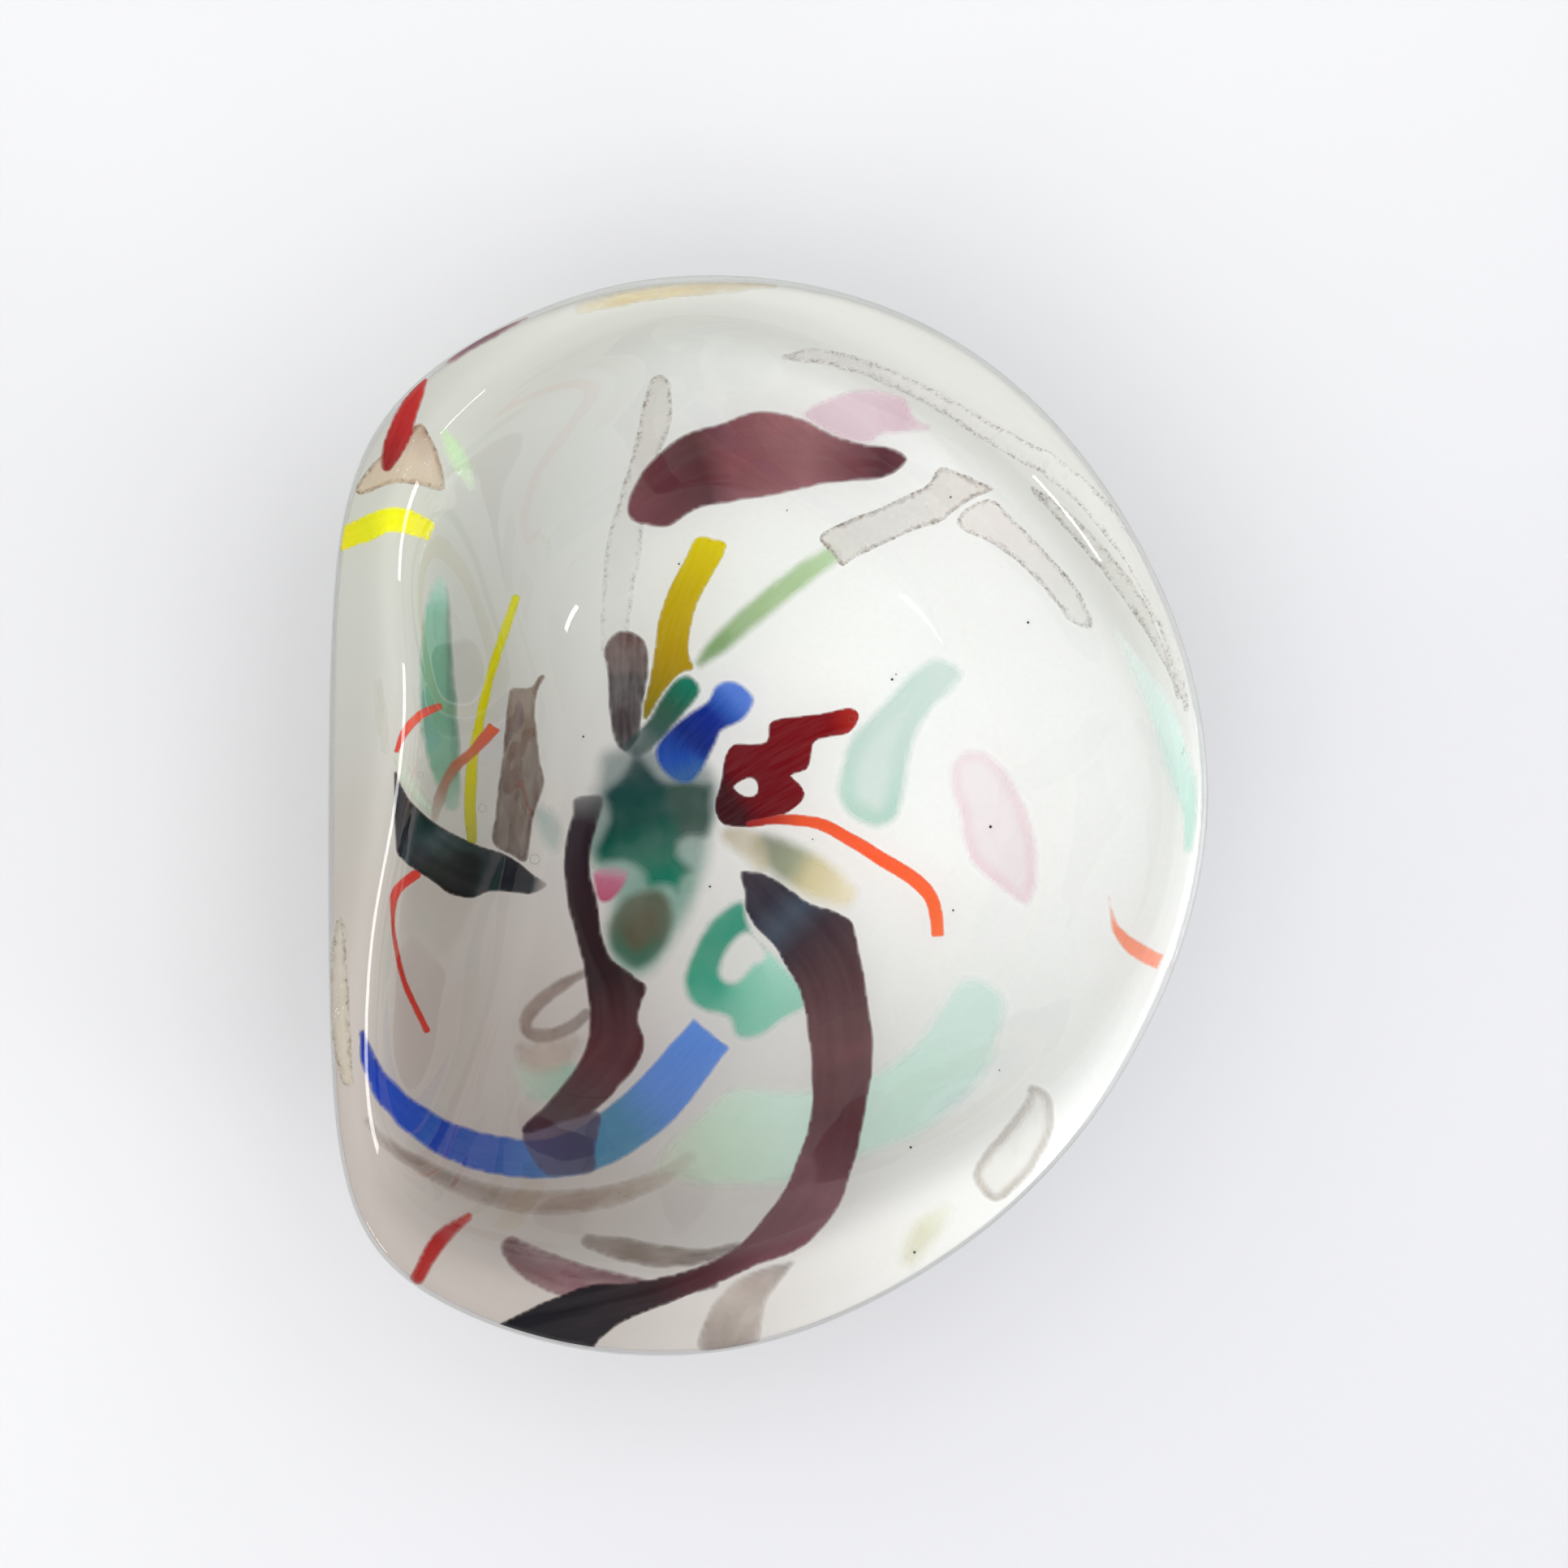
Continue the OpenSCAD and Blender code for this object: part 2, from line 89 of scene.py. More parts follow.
# How thick a coloured piece is drawn, how far apart two that cross lie, and the same for the soft veils
PIECE_T = 0.18
LEVEL_T = 0.22
LOWEST_PIECE = 0.14
VEIL_T = 0.012
VEIL_LEVEL_T = 0.016
LOWEST_VEIL = 0.035
# How far under the opal a piece's other sheet lies, and the steps that keep two of them apart
UNDER_GAP = 0.15
UNDER_STEP = 0.01
UNDER_STEPS = 9
# A piece is rounded within this of its edge, and stays this far inside the lip's skin
PIECE_ROUNDING = 1.2
LIP_CLEARANCE = 0.12
# How strongly a piece shows through the opal, and how far its edge fades there
GHOST_COVER = 0.4
GHOST_SOFT = 3
DEEP_COVER = 1.6
MOST_COVER = 0.9999
# Where a softer left side, and a hollow middle, start and are full
LEFT_SPAN = (-1, 2)
HOLLOW_SPAN = (1, 2.5)
# Keeps one piece's streaks from lining up with another's
STREAK_SHIFT = 7.0


# ---------------------------------------------------------------- the wall of the bowl


def spline(a, b, c, d, f):
    """A smooth curve's place a share f of the way from b to c, with a before them and d after."""
    return b + (c - a) * f / 2 + (2 * a - 5 * b + 4 * c - d) * f**2 / 2 + (3 * b - a - 3 * c + d) * f**3 / 2


def around(values, angle):
    """Value at an angle in degrees of a list spread evenly round the circle."""
    values = np.array(values, float)
    n = len(values)
    u = (np.asarray(angle) + 720) % 360 * n / 360
    i = np.floor(u).astype(int)
    f = u - i
    return spline(*(values[(i + k) % n] for k in (-1, 0, 1, 2)), f)


def rim_at(angle):
    """Radius of the rim's outside: round, and pushed in on the left."""
    turn = np.radians(angle)
    round_r = BOWL_R + around(RIM_WAVE, angle)
    side_r = PUSH_X / np.maximum(-np.cos(turn), LEAST_FACING)
    p = CORNER_POWER - CORNER_CHANGE * np.sin(turn)
    return (round_r**-p + side_r**-p) ** (-1 / p)


def crest_at(angle):
    """Radius at which the wall turns over into the lip."""
    return rim_at(angle) - around(LIP_WIDTH, angle)


def edge_at(angle):
    """Radius of the wall's middle at the lip's edge."""
    return rim_at(angle) - HALF_T


def middle_z(r, angle):
    """Height of the middle of the wall."""
    crest = crest_at(angle)
    top = CREST_Z - around(RIM_DROP, angle)
    wall = FLOOR_Z + (top - FLOOR_Z) * (r / crest) ** WALL_POWER
    lip = top - math.tan(math.radians(LIP_FALL)) * (r - crest)
    return -CREST_SOFT * np.log(np.exp(-wall / CREST_SOFT) + np.exp(-lip / CREST_SOFT))


def slope_at(r, angle):
    """The wall's slope, in radians."""
    inner = np.maximum(r - SLOPE_REACH, 0)
    outer = r + SLOPE_REACH
    return np.arctan((middle_z(outer, angle) - middle_z(inner, angle)) / (outer - inner))


def glass_point(r, angle, height, reach=0.0):
    """Points at a height above the middle of the wall, square to it, and a reach past the lip's edge."""
    slope = slope_at(r, angle)
    radius = r - height * np.sin(slope) + reach * np.cos(slope)
    z = middle_z(r, angle) + height * np.cos(slope) + reach * np.sin(slope)
    turn = np.radians(angle)
    return np.stack([radius * np.cos(turn), radius * np.sin(turn), z], -1)


def draped(x, y, height):
    """Points of the wall over places in plan, at a height in it. Past the edge they follow the lip round."""
    angle = np.degrees(np.arctan2(y, x))
    r = np.hypot(x, y)
    edge = edge_at(angle)
    near = np.minimum(r, edge)
    near = np.minimum(near + height * np.sin(slope_at(near, angle)), edge)
    most = np.sqrt(np.maximum(HALF_T**2 - height**2, 0)) - LIP_CLEARANCE
    reach = np.clip((r - edge) / np.cos(slope_at(edge, angle)), 0, most)
    return glass_point(near, angle, height, reach)


# ---------------------------------------------------------------- meshes and objects


# What a mesh calls one, three or four numbers at a point, and the field that they fill
ATTRIBUTES = {1: ("FLOAT", "value"), 3: ("FLOAT_VECTOR", "vector"), 4: ("FLOAT_COLOR", "color")}


def new_mesh(name, points, faces, values=None, slots=None, rims=None):
    """A smooth mesh from millimetres, with a value at each point for its material to read."""
    mesh = bpy.data.meshes.new(name)
    mesh.from_pydata((np.asarray(points) * MM).tolist(), [], faces)
    for key, data in (values or {}).items():
        data = np.asarray(data, np.float32).reshape(len(data), -1)
        kind, field = ATTRIBUTES[data.shape[1]]
        mesh.attributes.new(key, kind, "POINT").data.foreach_set(field, data.ravel())
    if slots is not None:
        mesh.polygons.foreach_set("material_index", slots)
    mesh.polygons.foreach_set("use_smooth", [True] * len(mesh.polygons))
    if rims is not None:
        ends = np.zeros(2 * len(mesh.edges), np.int32)
        mesh.edges.foreach_get("vertices", ends)
        sharp = np.asarray(rims)[ends.reshape(-1, 2)].all(axis=1)
        mesh.attributes.new("sharp_edge", "BOOLEAN", "EDGE").data.foreach_set("value", sharp)
    mesh.update()
    return mesh


def new_object(name, data):
    thing = bpy.data.objects.new(name, data)
    bpy.context.scene.collection.objects.link(thing)
    return thing


def new_piece(name, mesh, materials, nodes=()):
    """A piece of the bowl: it moves with the bowl's one body and stands for its CAD node."""
    piece = new_object(name, mesh)
    for material in materials:
        mesh.materials.append(material)
    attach(piece, "root")
    if nodes:
        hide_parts(*nodes)
    return piece


def turned_shell(rows, slots):
    """A closed mesh from rows of points round the bowl, from one face's middle to the other's."""
    points = np.concatenate(rows)
    faces, face_slots = [], []
    for k in range(len(rows) - 1):
        a = k * TURNS
        for t in range(TURNS):
            n = (t + 1) % TURNS
            faces.append((a + t, a + TURNS + t, a + TURNS + n, a + n))
            face_slots.append(slots[k])
    first = len(points)
    last_row = (len(rows) - 1) * TURNS
    middles = [rows[0].mean(0), rows[-1].mean(0)]
    points = np.concatenate([points, middles])
    for t in range(TURNS):
        n = (t + 1) % TURNS
        faces.append((first, t, n))
        faces.append((first + 1, last_row + n, last_row + t))
        face_slots += [slots[0], slots[-1]]
    return points, faces, face_slots


def ring_radii(angle):
    """Radii of the rings of a face at each angle: close together at the crest, where the glass bends."""
    crest = np.minimum(crest_at(angle), edge_at(angle) - LEAST_LIP)
    wall = [crest * (1 - (1 - k / WALL_RINGS) ** RING_CROWDING) for k in range(1, WALL_RINGS)]
    lip = [crest + (edge_at(angle) - crest) * k / LIP_RINGS for k in range(LIP_RINGS + 1)]
    return wall + lip


def face_rows(height, reach=0.0):
    """Rows of a face at a height in the wall, from the middle to the lip, and one past it by a reach."""
    rows = [glass_point(r, TURN_ANGLES, height) for r in ring_radii(TURN_ANGLES)]
    if reach:
        rows.append(glass_point(edge_at(TURN_ANGLES), TURN_ANGLES, height, reach))
    return rows


def rounded_rows(middle, radius, reach, start, end):
    """Rows round the lip's edge: an arc in the wall's section, between two angles in degrees."""
    edge = edge_at(TURN_ANGLES)
    rows = []
    for k in range(EDGE_STEPS + 1):
        turn = math.radians(start + (end - start) * k / EDGE_STEPS)
        height, out = middle + radius * math.sin(turn), reach + radius * math.cos(turn)
        rows.append(glass_point(edge, TURN_ANGLES, height, out))
    return rows


def ground_flat(rows):
    """The outside of the casing, with its underside ground flat."""
    turn = np.radians(TURN_ANGLES)
    disc = np.stack([np.cos(turn), np.sin(turn), np.zeros(TURNS)], -1)
    flat = [r * disc for r in np.linspace(BASE_R, 1, FLAT_RINGS)]
    clear = []
    for row in rows:
        reach = np.hypot(row[:, 0], row[:, 1])
        if reach.mean() < BASE_R - BASE_BLEND:
            continue
        kept = BASE_R + BASE_BLEND * np.logaddexp(0, (reach - BASE_R) / BASE_BLEND)
        rise = smooth_step(BASE_R, BASE_R + BASE_ROUNDING, kept)
        clear.append(np.column_stack([row[:, :2] * (kept / reach)[:, None], row[:, 2] * rise]))
    return clear, flat


def build_opal(material):
    """The white opal glass, with a rounded edge that lies just inside the clear glass."""
    radius = OPAL_T / 2
    reach = HALF_T - OPAL_INSET - radius
    rows = face_rows(OPAL_TOP, reach / 2)
    rows += rounded_rows(OPAL_MIDDLE, radius, reach, 90, -90)
    rows += face_rows(OPAL_BOTTOM, reach / 2)[::-1]
    points, faces, slots = turned_shell(rows, [0] * len(rows))
    mesh = new_mesh("opal_body", points, faces)
    new_piece("opal_body", mesh, [material], ["opal_glass"])


def interface_rows(side):
    """The clear glass's face on the opal, from the lip's edge in. side is 1 above the opal, -1 below."""
    radius = OPAL_T / 2 + SKIN_GAP
    reach = HALF_T - OPAL_INSET - OPAL_T / 2
    height = OPAL_MIDDLE + side * radius
    arc = rounded_rows(OPAL_MIDDLE, radius, reach, side * INTERFACE_START, side * 90)
    return arc + face_rows(height, reach / 2)[::-1]


def build_lining(materials):
    """The clear glass inside the bowl: a polished face and a face on the opal."""
    meeting = math.degrees(math.asin((OPAL_MIDDLE + SKIN_GAP) / HALF_T))
    polished = face_rows(HALF_T)[:-1] + rounded_rows(0, HALF_T, 0, 90, meeting)
    hidden = interface_rows(1)
    rows = polished + hidden
    slots = [0] * (len(polished) - 1) + [1] * (len(hidden) + 1)
    points, faces, face_slots = turned_shell(rows, slots)
    mesh = new_mesh("lining_body", points, faces, slots=face_slots)
    new_piece("lining_body", mesh, materials, ["clear_lining"])


def build_casing(materials):
    """The clear glass outside the bowl, with the flat ground under its base."""
    hidden = interface_rows(-1)[::-1]
    meeting = math.degrees(math.asin((OPAL_MIDDLE - SKIN_GAP) / HALF_T))
    clear, flat = ground_flat(face_rows(-HALF_T)[:-1])
    polished = rounded_rows(0, HALF_T, 0, meeting, -90) + clear[::-1]
    rows = hidden + polished + flat
    slots = [1] * len(hidden) + [0] * len(polished) + [2] * len(flat)
    points, faces, face_slots = turned_shell(rows, slots)
    mesh = new_mesh("casing_body", points, faces, slots=face_slots)
    new_piece("casing_body", mesh, materials, ["clear_casing"])


# ---------------------------------------------------------------- outlines of the coloured pieces


def smooth_path(points, step, closed=False):
    """A smooth path through points, as rows of the same numbers, about every step millimetres."""
    p = np.array(points, float)
    n = len(p)
    rows = []
    for i in range(n if closed else n - 1):
        if closed:
            a, b, c, d = (p[(i + k) % n] for k in (-1, 0, 1, 2))
        else:
            a, b, c, d = p[max(i - 1, 0)], p[i], p[i + 1], p[min(i + 2, n - 1)]
        count = max(int(np.hypot(*(c - b)[:2]) / step), 1)
        rows.append(spline(a, b, c, d, np.arange(count)[:, None] / count))
    if not closed:
        rows.append(p[-1:])
    return np.concatenate(rows)


WOBBLE_WAVES = (2.2, 4.1, 7.5)
WAVES_EACH = 3
# About the most that the waves come to together
WAVE_SUM = 41


def wobble(x, y, seed, size):
    """A small smooth unevenness of an outline."""
    rng = np.random.default_rng(seed)
    total = np.zeros_like(x)
    for wave in WOBBLE_WAVES:
        for _ in range(WAVES_EACH):
            turn, phase = rng.uniform(0, 2 * math.pi, 2)
            across = x * math.cos(turn) + y * math.sin(turn)
            total += np.sin(across * 2 * math.pi / wave + phase) * wave
    return total / WAVE_SUM * size


def loop_distance(loop, x, y):
    """Distance to a closed outline, less than nothing inside it."""
    best = np.full(x.shape, 1e9)
    inside = np.zeros(x.shape, bool)
    following = np.roll(loop, -1, 0)
    for (ax, ay), (bx, by) in zip(loop[:, :2], following[:, :2]):
        dx, dy = bx - ax, by - ay
        t = np.clip(((x - ax) * dx + (y - ay) * dy) / max(dx * dx + dy * dy, 1e-9), 0, 1)
        best = np.minimum(best, np.hypot(x - ax - t * dx, y - ay - t * dy))
        if ay != by:
            crosses = ((ay > y) != (by > y)) & (x < (bx - ax) * (y - ay) / (by - ay) + ax)
            inside ^= crosses
    return np.where(inside, -best, best)


# Steps along a line and round an outline or a hole
LINE_STEP = 0.4
OUTLINE_STEP = 0.8
HOLE_STEP = 0.5
# Points this far into a cell past the outline still count, before they are drawn in to it
CELL_REACH = 0.42
# How far apart the outline's slope is felt for, and the least that it is taken as
PROBE = 0.05
LEAST_GRADIENT = 0.2
DRAWING_ROUNDS = 3
RELAXING_ROUNDS = 4


class Outline:
    """The shape of a coloured piece in plan: a band along a line, or a closed outline, less any holes."""

    def __init__(self, row, seed):
        self.row = row
        self.seed = seed
        self.line = smooth_path(row["line"], LINE_STEP)
        steps = np.hypot(*np.diff(self.line[:, :2], axis=0).T)
        self.lengths = np.concatenate([[0], np.cumsum(steps)])
        self.loop = smooth_path(row["outline"], OUTLINE_STEP, True) if "outline" in row else None
        self.holes = [smooth_path(hole, HOLE_STEP, True) for hole in row.get("holes", [])]

    def nearest(self, x, y):
        """For each place: the distance past the band's edge, and the line's nearest sample."""
        best = np.full(x.shape, 1e9)
        index = np.zeros(x.shape, int)
        for i, (px, py, width) in enumerate(self.line):
            d = np.hypot(x - px, y - py) - width / 2
            closer = d < best
            best[closer] = d[closer]
            index[closer] = i
        return best, index

    def distance(self, x, y):
        """Distance past the piece's edge, less than nothing inside it."""
        d = self.nearest(x, y)[0] if self.loop is None else loop_distance(self.loop, x, y)
        ends = self.row.get("cut", "")
        for end, first, second in (("start", 0, 3), ("end", -1, -4)):
            if end in ends:
                tip = self.line[first, :2]
                out = tip - self.line[second, :2]
                out = out / np.hypot(*out)
                d = np.maximum(d, (x - tip[0]) * out[0] + (y - tip[1]) * out[1])
        d = d + wobble(x, y, self.seed, self.row["wobble"])
        for hole in self.holes:
            d = np.maximum(d, -loop_distance(hole, x, y))
        return d

    def along(self, x, y):
        """Share of the way along the line, millimetres along it and millimetres to its left."""
        index = self.nearest(x, y)[1]
        after, before = np.minimum(index + 1, len(self.line) - 1), np.maximum(index - 1, 0)
        ahead = self.line[after] - self.line[before]
        size = np.maximum(np.hypot(ahead[..., 0], ahead[..., 1]), 1e-9)
        from_x, from_y = x - self.line[index, 0], y - self.line[index, 1]
        forward = (from_x * ahead[..., 0] + from_y * ahead[..., 1]) / size
        left = (from_y * ahead[..., 0] - from_x * ahead[..., 1]) / size
        run = self.lengths[index] + forward
        return np.clip(run / self.lengths[-1], 0, 1), run, left


def outline_grid(shape, cell):
    """A flat mesh of a piece's shape in plan: square cells, drawn in to the outline at the edge."""
    reach = shape.loop if shape.loop is not None else shape.line
    pad = 2 + (0 if shape.loop is not None else shape.line[:, 2].max() / 2)
    low, high = reach[:, :2].min(0) - pad, reach[:, :2].max(0) + pad
    xs, ys = np.arange(low[0], high[0], cell), np.arange(low[1], high[1], cell)
    x, y = (g.ravel() for g in np.meshgrid(xs, ys, indexing="ij"))
    inside = shape.distance(x, y) < CELL_REACH * cell
    number = np.arange(len(xs) * len(ys)).reshape(len(xs), len(ys))
    corner = np.stack([number[:-1, :-1], number[1:, :-1], number[1:, 1:], number[:-1, 1:]], -1).reshape(-1, 4)
    count = inside[corner].sum(1)
    faces = [tuple(c) for c in corner[count == 4]]
    faces += [tuple(k for k in c if inside[k]) for c in corner[count == 3]]
    faces = one_body_each(faces)
    used = sorted({k for f in faces for k in f})
    renumber = {k: n for n, k in enumerate(used)}
    faces = [tuple(renumber[k] for k in f) for f in faces]
    x, y = x[used], y[used]
    edge = edge_points(faces, len(x))
    for _ in range(DRAWING_ROUNDS):
        x[edge], y[edge] = drawn_in(shape, x[edge], y[edge])
    x, y = relaxed(x, y, faces, edge, RELAXING_ROUNDS)
    return x, y, faces, edge


def sides(face):
    """A face's sides, each as its two points, the lower first."""
    return [(min(a, b), max(a, b)) for a, b in zip(face, face[1:] + face[:1])]


def one_body_each(faces):
    """The faces without those that touch another only at a corner."""
    shared = {}
    for n, f in enumerate(faces):
        for side in sides(f):
            shared.setdefault(side, []).append(n)
    joined = {n for pair in shared.values() if len(pair) > 1 for n in pair}
    kept = [f for n, f in enumerate(faces) if n in joined]
    while True:
        fans = {}
        for n, f in enumerate(kept):
            for k, a in enumerate(f):
                fans.setdefault(a, []).append((f[k - 1], f[(k + 1) % len(f)], n))
        drop = set()
        for corners in fans.values():
            into = [before for before, _, _ in corners]
            loose = [n for _, after, n in corners if after not in into]
            if len(loose) > 1:
                drop.add(loose[-1])
        if not drop:
            return kept
        kept = [f for n, f in enumerate(kept) if n not in drop]


def edge_points(faces, count):
    """True at the points on the mesh's edge."""
    uses = {}
    for f in faces:
        for side in sides(f):
            uses[side] = uses.get(side, 0) + 1
    edge = np.zeros(count, bool)
    edge[[point for side, times in uses.items() if times == 1 for point in side]] = True
    return edge


def drawn_in(shape, x, y):
    """Places moved square to the outline until they lie on it."""
    d = shape.distance(x, y)
    gx = (shape.distance(x + PROBE, y) - shape.distance(x - PROBE, y)) / (2 * PROBE)
    gy = (shape.distance(x, y + PROBE) - shape.distance(x, y - PROBE)) / (2 * PROBE)
    size = np.maximum(gx * gx + gy * gy, LEAST_GRADIENT)
    return x - d * gx / size, y - d * gy / size


def relaxed(x, y, faces, edge, rounds):
    """Evens out the points inside the mesh, with its edge left where it is."""
    pairs = np.array(sorted({side for f in faces for side in sides(f)}))
    uses = np.zeros(len(x))
    np.add.at(uses, pairs[:, 0], 1)
    np.add.at(uses, pairs[:, 1], 1)
    for _ in range(rounds):
        for values in (x, y):
            total = np.zeros(len(x))
            np.add.at(total, pairs[:, 0], values[pairs[:, 1]])
            np.add.at(total, pairs[:, 1], values[pairs[:, 0]])
            values[~edge] = (total / np.maximum(uses, 1))[~edge]
    return x, y


def linear(colour):
    """An everyday 0 to 255 colour as the renderer's linear one."""
    c = np.array(colour, float) / 255
    return np.where(c <= 0.04045, c / 12.92, ((c + 0.055) / 1.055) ** 2.4)


def blended(stops, share):
    """Colours between stops, each (share of the way, colour)."""
    at = [s for s, _ in stops]
    colours = np.array([linear(c) for _, c in stops])
    return np.stack([np.interp(share, at, colours[:, k]) for k in range(3)], -1)


def smooth_step(low, high, value):
    """0 below low and 1 above high, with an easy curve between them."""
    t = np.clip((value - low) / (high - low), 0, 1)
    return t * t * (3 - 2 * t)


def lens(x, y, faces, edge, depth, base, thickness):
    """A closed sheet in the wall: a flat face and one that bulges by a thickness, down if it is negative."""
    flip = thickness < 0
    bulge = thickness * smooth_step(0, PIECE_ROUNDING, depth)
    top = draped(x, y, base + bulge)
    inner = np.where(~edge)[0]
    bottom = draped(x[inner], y[inner], base + np.zeros(len(inner)))
    under = np.arange(len(x))
    under[inner] = len(x) + np.arange(len(inner))
    up = [f[::-1] if flip else f for f in faces]
    down = [tuple(int(under[k]) for k in (f if flip else f[::-1])) for f in faces]
    return np.concatenate([top, bottom]), up + down, np.concatenate([np.arange(len(x)), inner])


def inlay_tint(row, share, left, depth):
    """A piece's colour at each point: along its line, then on its left side and in its middle."""
    tint = blended(row["colours"], share)
    for key, place in (("side", left), ("core", depth)):
        if key in row:
            colour, low, high = row[key]
            amount = smooth_step(low, high, place)[:, None]
            tint = tint * (1 - amount) + linear(colour) * amount
    return np.concatenate([tint, np.ones((len(tint), 1))], 1)


def inlay_sheets(row, seed, share, left, depth):
    """A piece's two sheets, on its own side of the opal and on the other: height, thickness and cover."""
    fade = np.interp(share, *zip(*row.get("fade", [(0, 1), (1, 1)])))
    soft, cover, level = row["soft"], row["cover"], row["level"]
    if "soft_left" in row:
        soft = soft + (row["soft_left"] - soft) * smooth_step(*LEFT_SPAN, left)
    solid = smooth_step(0, 1, depth / soft) * fade * cover
    solid = solid * (1 - row.get("hollow", 0) * smooth_step(*HOLLOW_SPAN, depth))
    veil = LOWEST_VEIL + level * VEIL_LEVEL_T
    if row.get("deep", False):
        whole = np.minimum(solid * DEEP_COVER, 1)
        return [(OPAL_TOP + veil, VEIL_T, solid), (OPAL_BOTTOM - UNDER_GAP, -PIECE_T, whole)]
    ghost = smooth_step(0, 1, depth / GHOST_SOFT) * fade * cover * GHOST_COVER
    under = OPAL_BOTTOM - veil - UNDER_GAP - UNDER_STEP * (seed % UNDER_STEPS)
    return [(OPAL_TOP + LOWEST_PIECE + level * LEVEL_T, PIECE_T, solid), (under, -VEIL_T, ghost)]


def build_inlay(row, seed, material):
    """A coloured piece of glass: a sheet where it lies, and the soft look of it through the opal."""
    shape = Outline(row, seed)
    x, y, faces, edge = outline_grid(shape, row["cell"])
    depth = np.maximum(-shape.distance(x, y), 0)
    depth[edge] = 0
    share, run, left = shape.along(x, y)
    tint = inlay_tint(row, share, left, depth)
    flow = np.stack([run, left, np.full(len(x), seed * STREAK_SHIFT)], -1)
    points, all_faces, rims, count = [], [], [], 0
    values = {"tint": [], "cover": [], "depth": [], "flow": []}
    for base, thickness, cover in inlay_sheets(row, seed, share, left, depth):
        p, f, source = lens(x, y, faces, edge, depth, base, thickness)
        points.append(p)
        all_faces += [tuple(int(k) + count for k in face) for face in f]
        count += len(p)
        # The two faces of a sheet cover together what the row asks for
        faint = 1 - np.sqrt(1 - np.clip(cover, 0, MOST_COVER))
        for key, data in (("tint", tint), ("cover", faint), ("depth", depth), ("flow", flow)):
            values[key].append(data[source])
        rims.append(edge[source])
    values = {key: np.concatenate(data) for key, data in values.items()}
    name = row["node"] + "_inlay"
    mesh = new_mesh(name, np.concatenate(points), all_faces, values, rims=np.concatenate(rims))
    piece = new_piece(name, mesh, [material], [] if row.get("extra") else [row["node"]])
    piece.visible_shadow = piece.visible_diffuse = False


# ---------------------------------------------------------------- materials


class Nodes:
    """A material's node tree, built a node at a time."""

    def __init__(self, name):
        self.material = bpy.data.materials.new(name)
        self.material.use_nodes = True
        self.tree = self.material.node_tree
        self.tree.nodes.clear()

    def add(self, kind, inputs=None, **settings):
        node = self.tree.nodes.new("ShaderNode" + kind)
        for key, value in settings.items():
            setattr(node, key, value)
        for key, value in (inputs or {}).items():
            socket = node.inputs[key]
            if isinstance(value, bpy.types.NodeSocket):
                self.tree.links.new(value, socket)
            else:
                socket.default_value = value
        return node

    def place(self):
        return self.add("TexCoord").outputs["Object"]

    def stretched(self, vector, scale, turn=0.0):
        """A place or direction scaled on each axis, and turned round Z."""
        keys = {"Vector": vector, "Scale": scale, "Rotation": (0, 0, turn)}
        return self.add("Mapping", keys).outputs[0]

    def value(self, name, kind="Fac"):
        """What the mesh says at each point: a number, a colour or a vector."""
        return self.add("Attribute", attribute_name=name).outputs[kind]

    def math(self, operation, a, b, clamp=False):
        return self.add("Math", {0: a, 1: b}, operation=operation, use_clamp=clamp).outputs[0]

    def plus(self, a, b):
        return self.math("ADD", a, b)

    def times(self, a, b, clamp=False):
        return self.math("MULTIPLY", a, b, clamp)

    def spread(self, value, low, high, to_low=0.0, to_high=1.0):
        """A value mapped from one range to another, and held inside it."""
        keys = {"Value": value, "From Min": low, "From Max": high, "To Min": to_low, "To Max": to_high}
        return self.add("MapRange", keys, interpolation_type="SMOOTHSTEP").outputs[0]

    def noise(self, vector, scale, detail=2.0, roughness=0.5):
        keys = {"Vector": vector, "Scale": scale, "Detail": detail, "Roughness": roughness}
        return self.add("TexNoise", keys).outputs["Fac"]

    def mix(self, factor, a, b, how="MIX"):
        return self.add("Mix", {0: factor, 6: a, 7: b}, data_type="RGBA", blend_type=how).outputs[2]

    def shaded(self, factor, colour, shade):
        """A colour, multiplied by a shade as far as the factor says."""
        return self.mix(factor, colour, self.mix(1.0, colour, (*shade, 1), "MULTIPLY"))

    def surface(self, colour, roughness, gloss=0.5, cover=1.0):
        keys = {"Base Color": colour, "Roughness": roughness, "Specular IOR Level": gloss, "Alpha": cover}
        return self.add("BsdfPrincipled", keys).outputs[0]

    def see_through(self, colour=(1, 1, 1, 1)):
        return self.add("BsdfTransparent", {"Color": colour}).outputs[0]

    def facing(self):
        """0 where a surface faces the eye, 1 at its outline."""
        return self.add("LayerWeight", {"Blend": 0.5}).outputs["Facing"]

    def finish(self, shader):
        self.add("OutputMaterial", {"Surface": shader})
        return self.material


def rgba(colour):
    return (*linear(colour), 1.0)


